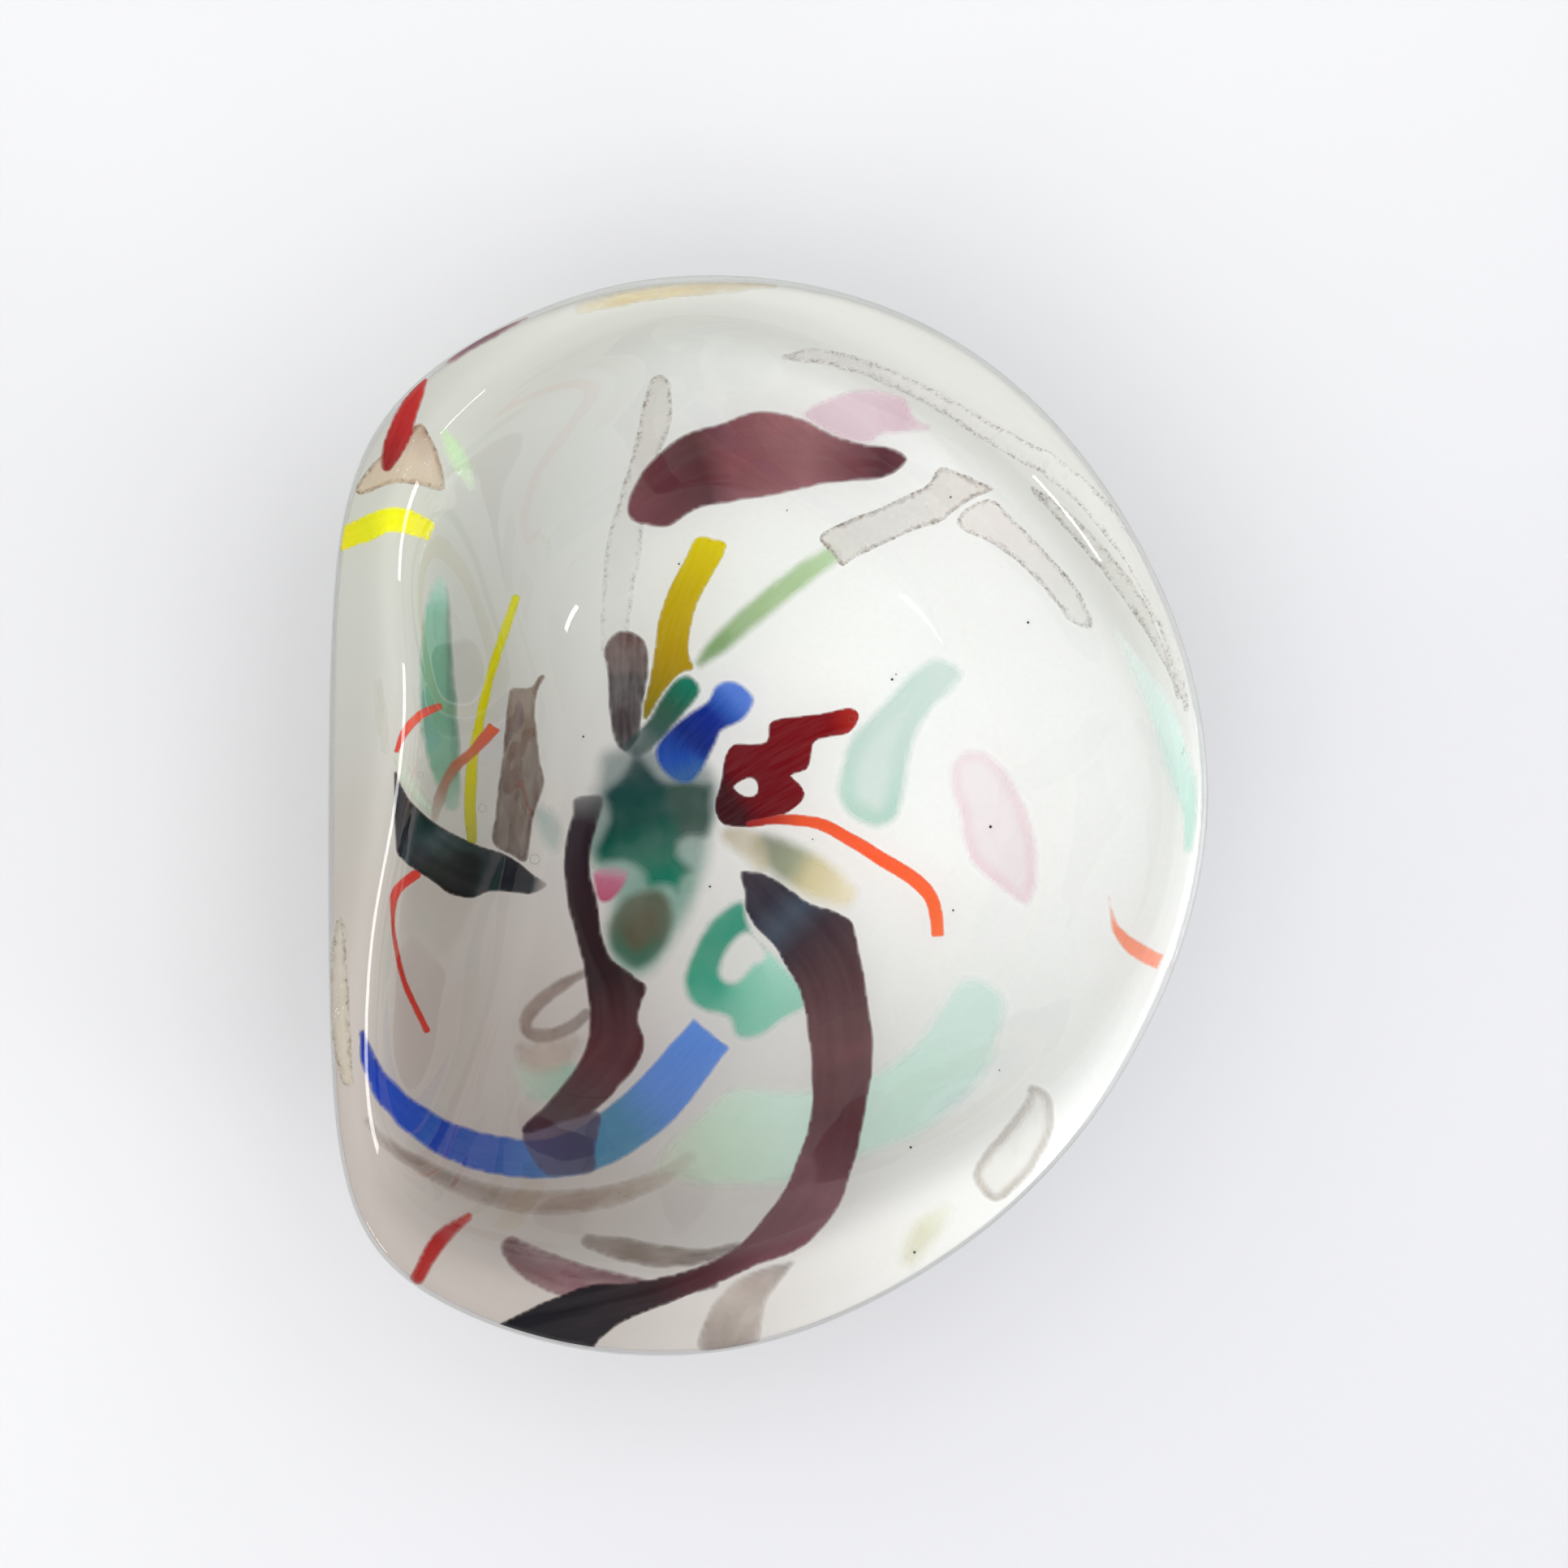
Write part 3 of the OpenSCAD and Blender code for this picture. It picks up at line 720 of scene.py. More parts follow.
def opal_material():
    """White opal glass: milky, with painted shade making it greyer on the left and at the lip, and with faint
    flow marks and mottling.
    """
    n = Nodes("opal_white")
    place = n.place()
    x, y, z = n.add("SeparateXYZ", {0: place}).outputs
    # Painted shade: greyer on the left and warmer low on that side, where the walls face away from the light
    # and less light comes through the glass; white to the right
    left = n.mix(n.spread(y, -0.05, 0.06), rgba((176, 164, 158)), rgba((180, 181, 173)))
    base = n.mix(n.spread(n.plus(x, n.times(y, 0.25)), -0.07, 0.07), left, rgba((249, 250, 248)))
    # Painted shade on the lip, stronger on its upper side, where it turns away from the light
    lip = n.times(n.spread(z, 0.046, 0.060, 0.0, 0.7), n.spread(y, -0.02, 0.05, 0.3, 1.0))
    base = n.mix(lip, base, rgba((200, 201, 192)))
    flow = n.noise(n.stretched(place, (14, 30, 20), 0.9), 1)
    base = n.mix(n.spread(flow, 0.35, 0.75, 0, 0.10), base, rgba((198, 200, 198)))
    grain = n.noise(place, 900, 3, 0.6)
    base = n.mix(n.spread(grain, 0.3, 0.7, 0, 0.05), base, rgba((190, 192, 190)))
    return n.finish(n.surface(base, 0.5, 0.0))


# How strongly clear glass mirrors: its index, and a bound on it at the outline
CLEAR_IOR = 1.42
MOST_MIRRORED = 0.5


def clear_material():
    """Clear glass over another layer: what lies behind shows through, and the surface mirrors the lights."""
    n = Nodes("clear_glass")
    ripple = n.noise(n.place(), 26, 1)
    bump = n.add("Bump", {"Height": ripple, "Strength": 0.25, "Distance": 0.002}).outputs[0]
    mirror = n.add("BsdfGlossy", {"Color": (1, 1, 1, 1), "Roughness": 0.02, "Normal": bump}).outputs[0]
    tint = n.mix(n.spread(n.facing(), 0.35, 1.0), (1, 1, 1, 1), rgba((234, 237, 232)))
    mirrored = n.add("Fresnel", {"IOR": CLEAR_IOR, "Normal": bump}).outputs[0]
    share = n.math("MINIMUM", mirrored, MOST_MIRRORED)
    return n.finish(n.add("MixShader", {0: share, 1: n.see_through(tint), 2: mirror}).outputs[0])


def joined_material():
    """Where clear glass is fused to another layer, nothing shows."""
    n = Nodes("fused_face")
    return n.finish(n.see_through())


def ground_material():
    """The satin flat ground under the base, with fine scratches."""
    n = Nodes("ground_flat")
    scratch = n.noise(n.stretched(n.place(), (900, 60, 60)), 3, 4)
    colour = n.mix(n.spread(scratch, 0.35, 0.7), rgba((222, 224, 222)), rgba((196, 199, 197)))
    return n.finish(n.surface(colour, 0.55, cover=n.spread(scratch, 0.3, 0.8, 0.45, 0.75)))


def streaked(n, amount, scale=(0.10, 1.1, 1.0)):
    """The piece's own colour, with fine streaks drawn out along it."""
    tint = n.value("tint", "Color")
    streak = n.noise(n.stretched(n.value("flow", "Vector"), scale), 1.0, 3, 0.6)
    dark = n.mix(1.0, tint, (1 - amount, 1 - amount, 1 - amount, 1), "MULTIPLY")
    light = n.mix(amount * 0.6, tint, (1, 1, 1, 1))
    return n.mix(n.spread(streak, 0.3, 0.7), dark, light)


def finish_inlay(n, colour, cover):
    return n.finish(n.surface(colour, 0.5, 0.0, cover))


def cane_material():
    """Opaque coloured glass cane, a little deeper at its edges."""
    n = Nodes("cane_glass")
    rim = n.spread(n.value("depth"), 0.0, 0.7, 0.2, 0.0)
    colour = n.shaded(rim, streaked(n, 0.025), (0.72, 0.70, 0.72))
    grain = n.spread(n.noise(n.place(), 1500, 2), 0.35, 0.7, 0.0, 0.10)
    return finish_inlay(n, n.shaded(grain, colour, (0.75, 0.75, 0.75)), n.value("cover"))


def dark_material():
    """Deep amethyst and plum glass, with drawn streaks and thinner, redder places."""
    n = Nodes("dark_glass")
    place = n.place()
    thin = n.spread(n.noise(place, 90, 2), 0.45, 0.75, 0.0, 0.35)
    colour = n.shaded(thin, streaked(n, 0.03, (0.02, 0.25, 1.0)), (1.5, 1.2, 1.25))
    rim = n.spread(n.value("depth"), 0.0, 0.5, 0.4, 0.0)
    colour = n.mix(rim, colour, n.mix(0.5, colour, rgba((150, 90, 85))))
    grain = n.spread(n.noise(place, 1500, 2), 0.35, 0.7, 0.0, 0.2)
    return finish_inlay(n, n.shaded(grain, colour, (0.7, 0.7, 0.7)), n.value("cover"))


def smoke_material():
    """Thin taupe and mauve glass, with a darker grainy outline."""
    n = Nodes("smoke_glass")
    place = n.place()
    grain = n.noise(place, 1100, 4, 0.7)
    rim = n.spread(n.value("depth"), 0.1, 1.3, 1.0, 0.0)
    line = n.times(rim, n.spread(grain, 0.3, 0.62, 0.35, 1.0))
    colour = n.shaded(n.times(line, 0.55), streaked(n, 0.10, (0.09, 0.7, 1.0)), (0.5, 0.46, 0.42))
    cloud = n.spread(n.noise(place, 160, 3), 0.35, 0.7, 0.85, 1.1)
    return finish_inlay(n, colour, n.times(n.value("cover"), n.plus(cloud, n.times(line, 0.45)), True))


def glitter_material():
    """Aventurine: thin grey-beige glass with a rough speckled outline, painted glints of light on its metal
    flakes, and pin bubbles.
    """
    n = Nodes("aventurine_glass")
    place = n.place()
    grain = n.noise(place, 1500, 4, 0.75)
    reach = n.plus(n.value("depth"), n.spread(n.noise(place, 420, 3, 0.6), 0.3, 0.7, -0.35, 0.35))
    rim = n.spread(reach, 0.1, 1.3, 1.0, 0.0)
    line = n.times(rim, n.plus(n.times(n.spread(grain, 0.46, 0.6), 0.75), 0.25))
    colour = n.mix(n.times(line, 0.9), streaked(n, 0.06), rgba((104, 90, 80)))
    # Painted highlights: white glints in a few scattered cells stand in for light caught by the metal flakes,
    # and the glass covers more there
    cell = n.add("TexVoronoi", {"Vector": place, "Scale": 1300.0}).outputs["Distance"]
    chosen = n.spread(n.noise(place, 260, 2), 0.52, 0.66)
    painted_glint = n.times(n.spread(cell, 0.10, 0.2, 1.0, 0.0), chosen)
    colour = n.mix(painted_glint, colour, (1.0, 1.0, 0.98, 1))
    dust = n.times(n.spread(grain, 0.6, 0.7), 0.35)
    colour = n.mix(dust, colour, rgba((135, 124, 118)))
    more = n.plus(n.plus(n.times(line, 1.9), painted_glint), n.plus(dust, 0.75))
    return finish_inlay(n, colour, n.times(n.value("cover"), more, True))


def veil_material():
    """Glass with soft colour, slightly clouded, as it looks through the opal."""
    n = Nodes("veil_glass")
    place = n.place()
    cloud = n.noise(place, 60, 3)
    colour = n.mix(n.spread(cloud, 0.3, 0.75, 0.0, 0.08), n.value("tint", "Color"), (1, 1, 1, 1))
    grain = n.spread(n.noise(place, 1100, 2), 0.35, 0.7, 0.0, 0.08)
    colour = n.shaded(grain, colour, (0.8, 0.8, 0.8))
    return finish_inlay(n, colour, n.times(n.value("cover"), n.spread(cloud, 0.25, 0.7, 1.0, 0.86), True))


def bubble_material():
    """An air bubble in glass: clear in the middle, with a painted dark ring standing in for the light bent
    away at its edge.
    """
    n = Nodes("air_bubble")
    # Painted shade: a dark grey surface towards the bubble's outline
    ring = n.spread(n.facing(), 0.35, 0.85, 0.0, 0.75)
    colour = n.mix(n.noise(n.place(), 700), rgba((150, 150, 148)), rgba((70, 72, 70)))
    dark = n.surface(colour, 0.2)
    return n.finish(n.add("MixShader", {0: ring, 1: n.see_through(), 2: dark}).outputs[0])


def speck_material():
    """A black speck of furnace dust."""
    n = Nodes("black_speck")
    colour = n.mix(n.noise(n.place(), 3000), rgba((22, 22, 24)), rgba((58, 56, 54)))
    return n.finish(n.surface(colour, 0.6))


# ---------------------------------------------------------------- the coloured pieces
# line: (x, y, width) in millimetres along the middle. outline: points round the edge, instead of the widths.
# colours, fade: each with its share of the way along the line. level: how high it lies on its side of the
# opal. deep: behind the opal. soft: how far the edge fades. cell: size of the mesh's squares. extra: not
# in the CAD. side, core: a colour left of the line or in the middle, and where it starts and where it is full.


def inlay(node, slot, finish, level=0, soft=0.4, cell=0.7, cover=1, wobble=0.25, **more):
    """What there is to say of one coloured piece."""
    usual = {"level": level, "soft": soft, "cell": cell, "cover": cover, "wobble": wobble}
    return {"node": node, "slot": slot, "finish": finish, **usual, **more}


INLAYS = [
    # Red
    inlay("red_shard", "red_glass", "cane", level=1, soft=0.5,
        line=[(-50, 82.5, 1.5), (-53, 77, 4.2), (-55.5, 70.5, 5), (-57.3, 66, 3)],
        colours=[(0, (186, 50, 46)), (0.6, (170, 36, 36)), (1, (140, 34, 34))]),
    inlay("thin_red_cane", "red_glass", "cane", soft=0.25, cell=0.3, wobble=0.1,
        line=[(-52.5, -14, 2.2), (-55.8, -17.2, 1.9), (-56.6, -22.5, 0.9), (-56, -29, 1.1),
          (-54.5, -36, 1.2), (-50.8, -45, 1.4)],
        colours=[(0, (202, 52, 44)), (0.4, (176, 46, 38)), (1, (192, 58, 44))]),
    inlay("red_strip", "red_glass", "cane", soft=0.7,
        line=[(-42, -81.2, 2.2), (-47, -85, 3.6), (-51.5, -92.5, 3.2)],
        colours=[(0, (178, 64, 60)), (0.15, (158, 26, 24)), (1, (152, 38, 36))]),
    inlay("crimson_ring", "red_glass", "cane", level=1, soft=0.35, cell=0.5, wobble=0.12,
        line=[(7, 4, 6), (13, 8, 8), (20, 12, 7), (28, 16, 5), (35, 17.5, 2)],
        outline=[(33, 19.3), (26.5, 18), (20, 17.3), (17, 16), (16.5, 12.6), (13.5, 12), (10, 12),
          (8, 9.5), (7, 4), (6, 0.5), (6.2, -2.5), (8, -4.6), (13, -5), (17, -3.4), (20.5, -2.3),
          (23.5, 0), (24.3, 2), (23, 4.2), (21.6, 5.5), (24.6, 6.6), (25.6, 9), (26.2, 12.2),
          (29.5, 13.2), (33, 14), (34.8, 16), (35.2, 18)],
        holes=[[(10, 3.2), (12.5, 4.8), (14, 4.6), (14.6, 3), (14, 1.6), (12, 1.5)]],
        colours=[(0, (58, 4, 14)), (0.12, (104, 0, 14)), (0.8, (124, 2, 14)), (1, (176, 36, 24))]),
    # Orange and rust
    inlay("orange_hook", "orange_glass", "cane", level=2, soft=0.25, cell=0.35, wobble=0.12,
        line=[(-48, 19, 1.7), (-51, 17.3, 1.9), (-53.7, 14, 1.7), (-55.2, 10.2, 1)],
        colours=[(0, (190, 75, 60)), (0.3, (220, 92, 66)), (1, (205, 60, 48))]),
    inlay("orange_cane", "orange_glass", "cane", level=2, soft=0.3, cell=0.45, wobble=0.12, cut="end",
        line=[(13, -4.3, 1.6), (20.3, -3.4, 2.4), (27.5, -4.4, 2.7), (34, -7.8, 2.9), (40.5, -11.8, 3.1),
          (46.5, -15.6, 3.2), (50, -20, 3), (51, -27, 2.8)],
        colours=[(0, (150, 32, 38)), (0.12, (190, 60, 40)), (0.22, (232, 88, 45)), (0.6, (255, 98, 54)),
          (1, (255, 116, 66))]),
    inlay("salmon_hook", "orange_glass", "cane", soft=0.6, cell=0.4, cut="end",
        line=[(84.2, -18, 0.8), (84.7, -21.7, 1.3), (85.6, -25, 2.2), (88.5, -28.3, 3.4),
          (94.5, -31.4, 3.7)],
        colours=[(0, (255, 206, 190)), (0.4, (255, 156, 124)), (1, (255, 170, 148))]),
    inlay("rust_cane", "rust_glass", "cane", level=2, soft=0.35, cell=0.4, cut="start",
        line=[(-37.8, 15.4, 2.7), (-41.2, 11, 2.4), (-45, 7.3, 2.3), (-47.3, 3, 2.3), (-49, -3, 1.8)],
        colours=[(0, (208, 90, 50)), (0.35, (178, 92, 58)), (0.55, (150, 95, 75)), (1, (150, 125, 112))],
        fade=[(0, 1), (0.7, 0.9), (1, 0.5)]),
    # Yellow and straw
    inlay("straw_strip", "straw_glass", "smoke", soft=1.4, cover=0.8,
        line=[(-19.5, 96.8, 3), (-13, 98.4, 4), (-4, 100.2, 4), (6, 101.4, 3.4), (18, 102, 2.4)],
        colours=[(0, (212, 196, 150)), (0.5, (205, 188, 142)), (1, (200, 182, 150))],
        fade=[(0, 0.6), (0.2, 1), (1, 0.8)]),
    inlay("lip_yellow_strip", "yellow_glass", "cane", soft=0.25, cut="start end",
        line=[(-69, 51, 5.2), (-62.5, 53, 5.2), (-57.5, 55, 5.4), (-53, 54.8, 5), (-48.8, 53.2, 3.9)],
        colours=[(0, (228, 214, 20)), (0.4, (214, 214, 30)), (0.6, (232, 232, 28)), (1, (235, 228, 10))]),
    inlay("thin_yellow_cane", "yellow_glass", "cane", level=1, soft=0.3, cell=0.4, wobble=0.12,
        line=[(-33.8, 41, 1.8), (-35.8, 35, 2), (-38, 28, 1.9), (-39.4, 22.5, 1.9), (-40.6, 16.4, 2),
          (-42, 8, 2.2), (-42.5, 0.5, 2.5), (-42.3, -7.5, 2.2)],
        colours=[(0, (208, 206, 0)), (0.5, (200, 192, 8)), (0.75, (188, 178, 30)), (1, (165, 155, 60))]),
    # The yellow strip's colours darken from its upper end to its lower end as painted shade
    inlay("yellow_strip", "yellow_glass", "cane", level=2, soft=0.3, wobble=0.12,
        line=[(5.5, 53, 6), (2.5, 45, 8), (-1.5, 36, 8), (-3.5, 27, 8), (-7.5, 18, 4)],
        outline=[(2.3, 53.6), (5.4, 53.5), (8.3, 52.6), (8.2, 50.4), (5.4, 45.5), (2.3, 39.5), (1, 33.5),
          (0.9, 30), (1.9, 26.9), (-1, 26), (-4.2, 22.5), (-6.4, 18.7), (-8.6, 16), (-8.6, 19.5),
          (-7.3, 25), (-6.4, 31), (-5.5, 37), (-3.4, 43), (0, 49.5)],
        colours=[(0, (214, 196, 0)), (0.3, (190, 166, 0)), (0.7, (166, 136, 0)), (1, (128, 112, 8))]),
    # Green and mint
    inlay("pale_green_dab", "green_glass", "veil", soft=1.6, cover=0.75,
        line=[(-46, 72, 3), (-44.5, 69, 4.6), (-42.6, 65, 4.2), (-41.8, 62.5, 2.5)],
        colours=[(0, (190, 226, 168)), (0.6, (200, 232, 185)), (1, (215, 232, 205))]),
    inlay("green_arc", "green_glass", "smoke", level=1, soft=0.8, cell=0.45, cover=0.6,
        line=[(-55, 10, 2), (-54, 5.5, 2.8), (-51.5, 1.2, 2.8), (-49, -2, 2)],
        colours=[(0, (205, 214, 190)), (0.5, (190, 206, 182)), (1, (180, 196, 176))]),
    inlay("light_green_cane", "green_glass", "veil", soft=2.0, cover=0.9,
        line=[(29, 49.5, 5.5), (22, 44.8, 6.3), (13.5, 38, 6.2), (7, 32.2, 5.6), (3, 28.4, 3.6)],
        colours=[(0, (170, 202, 148)), (0.5, (134, 170, 100)), (0.85, (98, 140, 66)),
          (1, (88, 132, 62))]),
    inlay("lime_smudge", "green_glass", "veil", level=2, soft=3.4, cover=0.85, deep=True,
        line=[(16, -8.5, 8), (21, -12, 11), (27, -15.5, 11), (32, -18.5, 8)],
        colours=[(0, (62, 78, 16)), (0.35, (94, 108, 24)), (0.6, (196, 180, 108)), (1, (226, 212, 168))]),
    inlay("mint_piece", "mint_glass", "veil", soft=2.0, cover=0.85, deep=True,
        line=[(51, 26, 8), (43, 17, 10), (39, 8, 13), (37, -1, 10)],
        outline=[(49.5, 29.6), (44.5, 26), (38.5, 19.5), (34.5, 15.5), (31.5, 10), (30.3, 3),
          (31.5, -1.5), (35, -4.5), (39.5, -5.8), (43.5, -3), (45.3, 3.5), (46.2, 10), (49.5, 17.5),
          (54, 22), (56.6, 26), (54, 28.8)],
        colours=[(0, (200, 222, 214)), (0.5, (184, 210, 200)), (1, (160, 204, 188))],
        core=((200, 218, 210), 2.5, 6)),
    inlay("mint_ribbon", "mint_glass", "veil", soft=2.6, cover=0.85, deep=True,
        line=[(60, -38, 8), (56, -50, 13), (42, -60, 16), (20, -66, 18), (-4, -72, 6)],
        outline=[(55, -35), (60, -34.5), (64.5, -38.5), (64.2, -44), (61, -53), (54.5, -60.5),
          (45, -66.8), (34, -71), (21, -76), (11, -76.5), (3, -76.5), (-6, -74.5), (-5, -69),
          (3, -61.5), (10, -56.3), (24, -56.6), (38, -52.8), (46, -47), (51, -40)],
        colours=[(0, (212, 240, 230)), (0.35, (208, 238, 226)), (0.65, (206, 234, 220)),
          (0.85, (194, 218, 196)), (1, (190, 196, 178))]),
    inlay("mint_fleck", "mint_glass", "veil", soft=2.4, cover=0.7, deep=True,
        line=[(-32.5, -53, 6), (-29, -56.5, 9), (-23.5, -55.5, 9)],
        colours=[(0, (178, 188, 172)), (1, (140, 182, 160))]),
    inlay("mint_rim_strip", "mint_glass", "veil", soft=1.8, cover=0.85,
        line=[(85.5, 33, 2.5), (90, 25.5, 4.5), (94.5, 16, 6), (98.5, 5, 7), (100, -3, 5), (100, -9, 3)],
        colours=[(0, (230, 243, 238)), (0.5, (216, 240, 232)), (1, (176, 226, 210))]),
    # Teal and olive
    inlay("teal_blade", "teal_glass", "cane", soft=0.9, cover=0.95,
        line=[(-47.8, 43.7, 2.5), (-48.2, 39.5, 4.6), (-48.4, 31, 5.8), (-48, 19, 7), (-47.5, 12.5, 7),
          (-46.8, 6.5, 5.6), (-45.8, 0, 3.6)],
        colours=[(0, (150, 208, 190)), (0.15, (118, 176, 150)), (0.6, (100, 150, 122)),
          (1, (116, 156, 132))],
        fade=[(0, 0.5), (0.12, 1), (0.85, 0.95), (1, 0.6)], side=((88, 132, 110), 1.2, 2.0)),
    inlay("teal_capsule", "teal_glass", "cane", level=3, soft=1.1,
        line=[(1, 24, 6), (-3, 18.5, 8), (-7, 14, 7), (-12, 10.5, 4)],
        outline=[(-0.8, 26), (-3.5, 23.8), (-6, 20.4), (-8, 16.8), (-11.8, 13), (-12.6, 10), (-9, 9.3),
          (-5, 11.8), (-1.8, 15.5), (2, 20), (3.5, 23), (1.8, 25.6)],
        colours=[(0, (0, 112, 88)), (0.35, (0, 78, 54)), (0.6, (4, 66, 56)), (1, (40, 66, 66))],
        fade=[(0, 1), (0.6, 0.95), (1, 0.7)]),
    inlay("teal_mass", "teal_glass", "veil", level=1, soft=2.6, deep=True,
        line=[(-8, 10, 10), (-9, 2, 14), (-6, -8, 14), (-4, -17, 8)],
        outline=[(-10, 12), (-13.5, 6.5), (-17.5, 2), (-16.5, -3), (-19, -9), (-18, -13), (-13, -13),
          (-9.5, -15), (-8, -18), (-4, -17.8), (-1, -19.5), (0.5, -16), (2.4, -13.6), (-0.4, -10),
          (0.5, -8.2), (5, -7.8), (6.5, -4), (6.5, 1), (6, 4.5), (1, 5.5), (-4, 5.5), (-7, 9)],
        colours=[(0, (42, 60, 62)), (0.25, (20, 64, 62)), (0.5, (0, 68, 58)), (0.75, (0, 92, 72)),
          (1, (0, 114, 90))],
        side=((44, 72, 62), 3.5, 7)),
    inlay("teal_horseshoe", "teal_glass", "veil", level=2, soft=1.8, deep=True,
        line=[(13, -20, 5), (4, -27, 6), (2, -36, 6), (8, -42, 7), (18, -41, 7), (23, -36, 4)],
        outline=[(12, -19.3), (7, -21.4), (3.6, -25), (0.8, -30.5), (-0.8, -35.5), (0.2, -40),
          (3.5, -42.6), (8, -43.8), (10.5, -48), (15.5, -47.5), (20.5, -44), (25, -41), (24.5, -37),
          (21, -33), (17.5, -29.5), (14, -26)],
        holes=[[(12.5, -27), (9, -30.5), (7.8, -34.5), (10, -35.6), (13, -32.5), (15.5, -30.5)]],
        colours=[(0, (0, 138, 110)), (0.3, (0, 136, 106)), (0.55, (40, 152, 124)),
          (0.75, (118, 190, 166)), (1, (160, 212, 194))]),
    inlay("olive_disc", "olive_glass", "veil", level=1, soft=2.6, cover=0.95,
        line=[(-8, -20, 8), (-9, -25, 12), (-10, -30, 8)],
        outline=[(-7.5, -16.4), (-13, -18.6), (-16.8, -25), (-15.5, -31), (-10, -34.8), (-5.5, -32.5),
          (-1.8, -27), (-1.8, -20.5), (-4, -17)],
        colours=[(0, (82, 86, 66)), (0.5, (78, 84, 62)), (1, (58, 96, 78))],
        core=((84, 76, 54), 3, 6)),
    inlay("olive_smudge", "olive_glass", "veil", soft=3.2, cover=0.7, deep=True,
        line=[(51.5, -79.5, 5), (47.7, -83.5, 8), (44.5, -89, 6)],
        colours=[(0, (222, 222, 200)), (0.5, (200, 200, 162)), (1, (204, 202, 176))]),
    # Blue
    inlay("blue_ribbon", "blue_glass", "cane", soft=0.7, cut="end",
        line=[(-62.2, -44.5, 1.6), (-60.8, -50.6, 3.2), (-57.5, -57, 4.8), (-52.6, -62.3, 6),
          (-45.8, -67, 7), (-37.4, -69.8, 7.6), (-28, -70.8, 8), (-20, -69.2, 9), (-13, -65.5, 10.5),
          (-6, -60, 11), (0, -53, 10.5), (5.5, -46.3, 9.5)],
        colours=[(0, (6, 40, 140)), (0.12, (8, 56, 164)), (0.3, (20, 62, 158)), (0.42, (34, 76, 160)),
          (0.52, (60, 108, 168)), (0.6, (70, 126, 160)), (0.72, (72, 126, 158)), (0.82, (92, 132, 200)),
          (1, (96, 140, 214))]),
    inlay("blue_piece", "blue_glass", "cane", level=4, soft=1.0, wobble=0.15,
        line=[(9.5, 22.5, 7), (4, 17, 9), (-1, 11, 9), (0, 6, 6)],
        outline=[(7, 24.6), (5.4, 23.2), (4.4, 21), (1, 18.6), (-3, 15.5), (-6.2, 11.5), (-5.8, 8),
          (-3, 4.6), (1, 3.6), (4, 7), (6.5, 12), (7.6, 14.4), (12, 16.6), (14.2, 20.5), (13, 23),
          (10, 24.8)],
        colours=[(0, (84, 122, 206)), (0.16, (44, 88, 176)), (0.3, (0, 38, 136)), (0.6, (0, 34, 118)),
          (0.85, (24, 72, 160)), (1, (48, 92, 150))]),
    # Plum, amethyst and black
    inlay("plum_strip", "purple_glass", "dark", soft=0.8, cell=0.4, cover=0.9,
        line=[(-45.5, 86, 1.2), (-40.5, 89.6, 2.6), (-35.5, 92.6, 2.6), (-30.5, 95.2, 1.6)],
        colours=[(0, (150, 90, 105)), (0.4, (105, 55, 68)), (1, (150, 80, 95))]),
    inlay("plum_blade", "amethyst_glass", "dark", level=2, soft=0.7, wobble=0.2,
        line=[(-9, 59, 8), (2, 67, 13), (14, 69, 16), (30, 68, 9), (44, 68, 4)],
        outline=[(-4, 55.3), (-9.8, 56.2), (-11.6, 58.4), (-11, 62), (-8.6, 66.3), (-5, 70), (0, 73.6),
          (7.8, 75.9), (15, 78), (23, 76.6), (29, 73.6), (35.6, 71.4), (40, 70.7), (43.3, 69.6),
          (44.6, 68), (42.6, 65.8), (38.2, 64.2), (29, 63.7), (19.4, 61.8), (9.6, 60.3), (4.5, 59.4),
          (1, 58.2), (-2, 56)],
        colours=[(0, (108, 60, 66)), (0.14, (98, 52, 58)), (0.27, (86, 44, 50)), (0.38, (134, 82, 88)),
          (0.65, (158, 108, 112)), (0.82, (122, 72, 80)), (0.92, (86, 44, 52)), (1, (100, 56, 64))]),
    inlay("black_shard", "black_glass", "dark", level=3, soft=0.25, cell=0.5, wobble=0.15,
        line=[(-55, 2, 4), (-51, -8, 6), (-42, -14, 8), (-28.5, -16.5, 3)],
        outline=[(-55.6, 6.5), (-54.6, 4), (-53, 0.8), (-51, -1.6), (-49, -3.6), (-45.5, -6), (-42, -8),
          (-37.5, -9.6), (-34, -11.5), (-30.5, -14.4), (-27.6, -16.6), (-31, -18.4), (-36, -18),
          (-39.5, -18), (-42.5, -19.2), (-46.5, -18.2), (-49, -16), (-52, -13.6), (-54.6, -11),
          (-55.8, -8)],
        colours=[(0, (10, 11, 17)), (0.2, (16, 18, 26)), (0.34, (32, 36, 48)), (0.4, (8, 10, 18)),
          (1, (10, 13, 24))],
        fade=[(0, 1), (0.93, 1), (1, 0.45)]),
    inlay("purple_lobe", "purple_glass", "dark", level=1, soft=0.7, cover=0.86, wobble=0.15,
        line=[(-30, -67, 6), (-25, -70, 8), (-19, -68, 8)],
        outline=[(-32.4, -66), (-31, -69.6), (-27.5, -74), (-23, -74.2), (-17.6, -73.4), (-17.3, -68.5),
          (-16.6, -62.3), (-21, -61.5), (-28, -63)],
        colours=[(0, (76, 66, 96)), (1, (72, 54, 78))]),
    inlay("purple_ribbon", "purple_glass", "dark", level=2, soft=0.6,
        line=[(-19.5, 2, 6), (-21.5, -8, 6), (-21, -18, 6), (-18, -28, 6), (-14, -38, 9), (-14, -48, 10),
          (-21, -57, 9), (-31.5, -65.5, 3)],
        outline=[(-22.4, 1.2), (-23, -2.5), (-24.5, -8.5), (-24.6, -14.5), (-24, -20.5), (-22.3, -26.8),
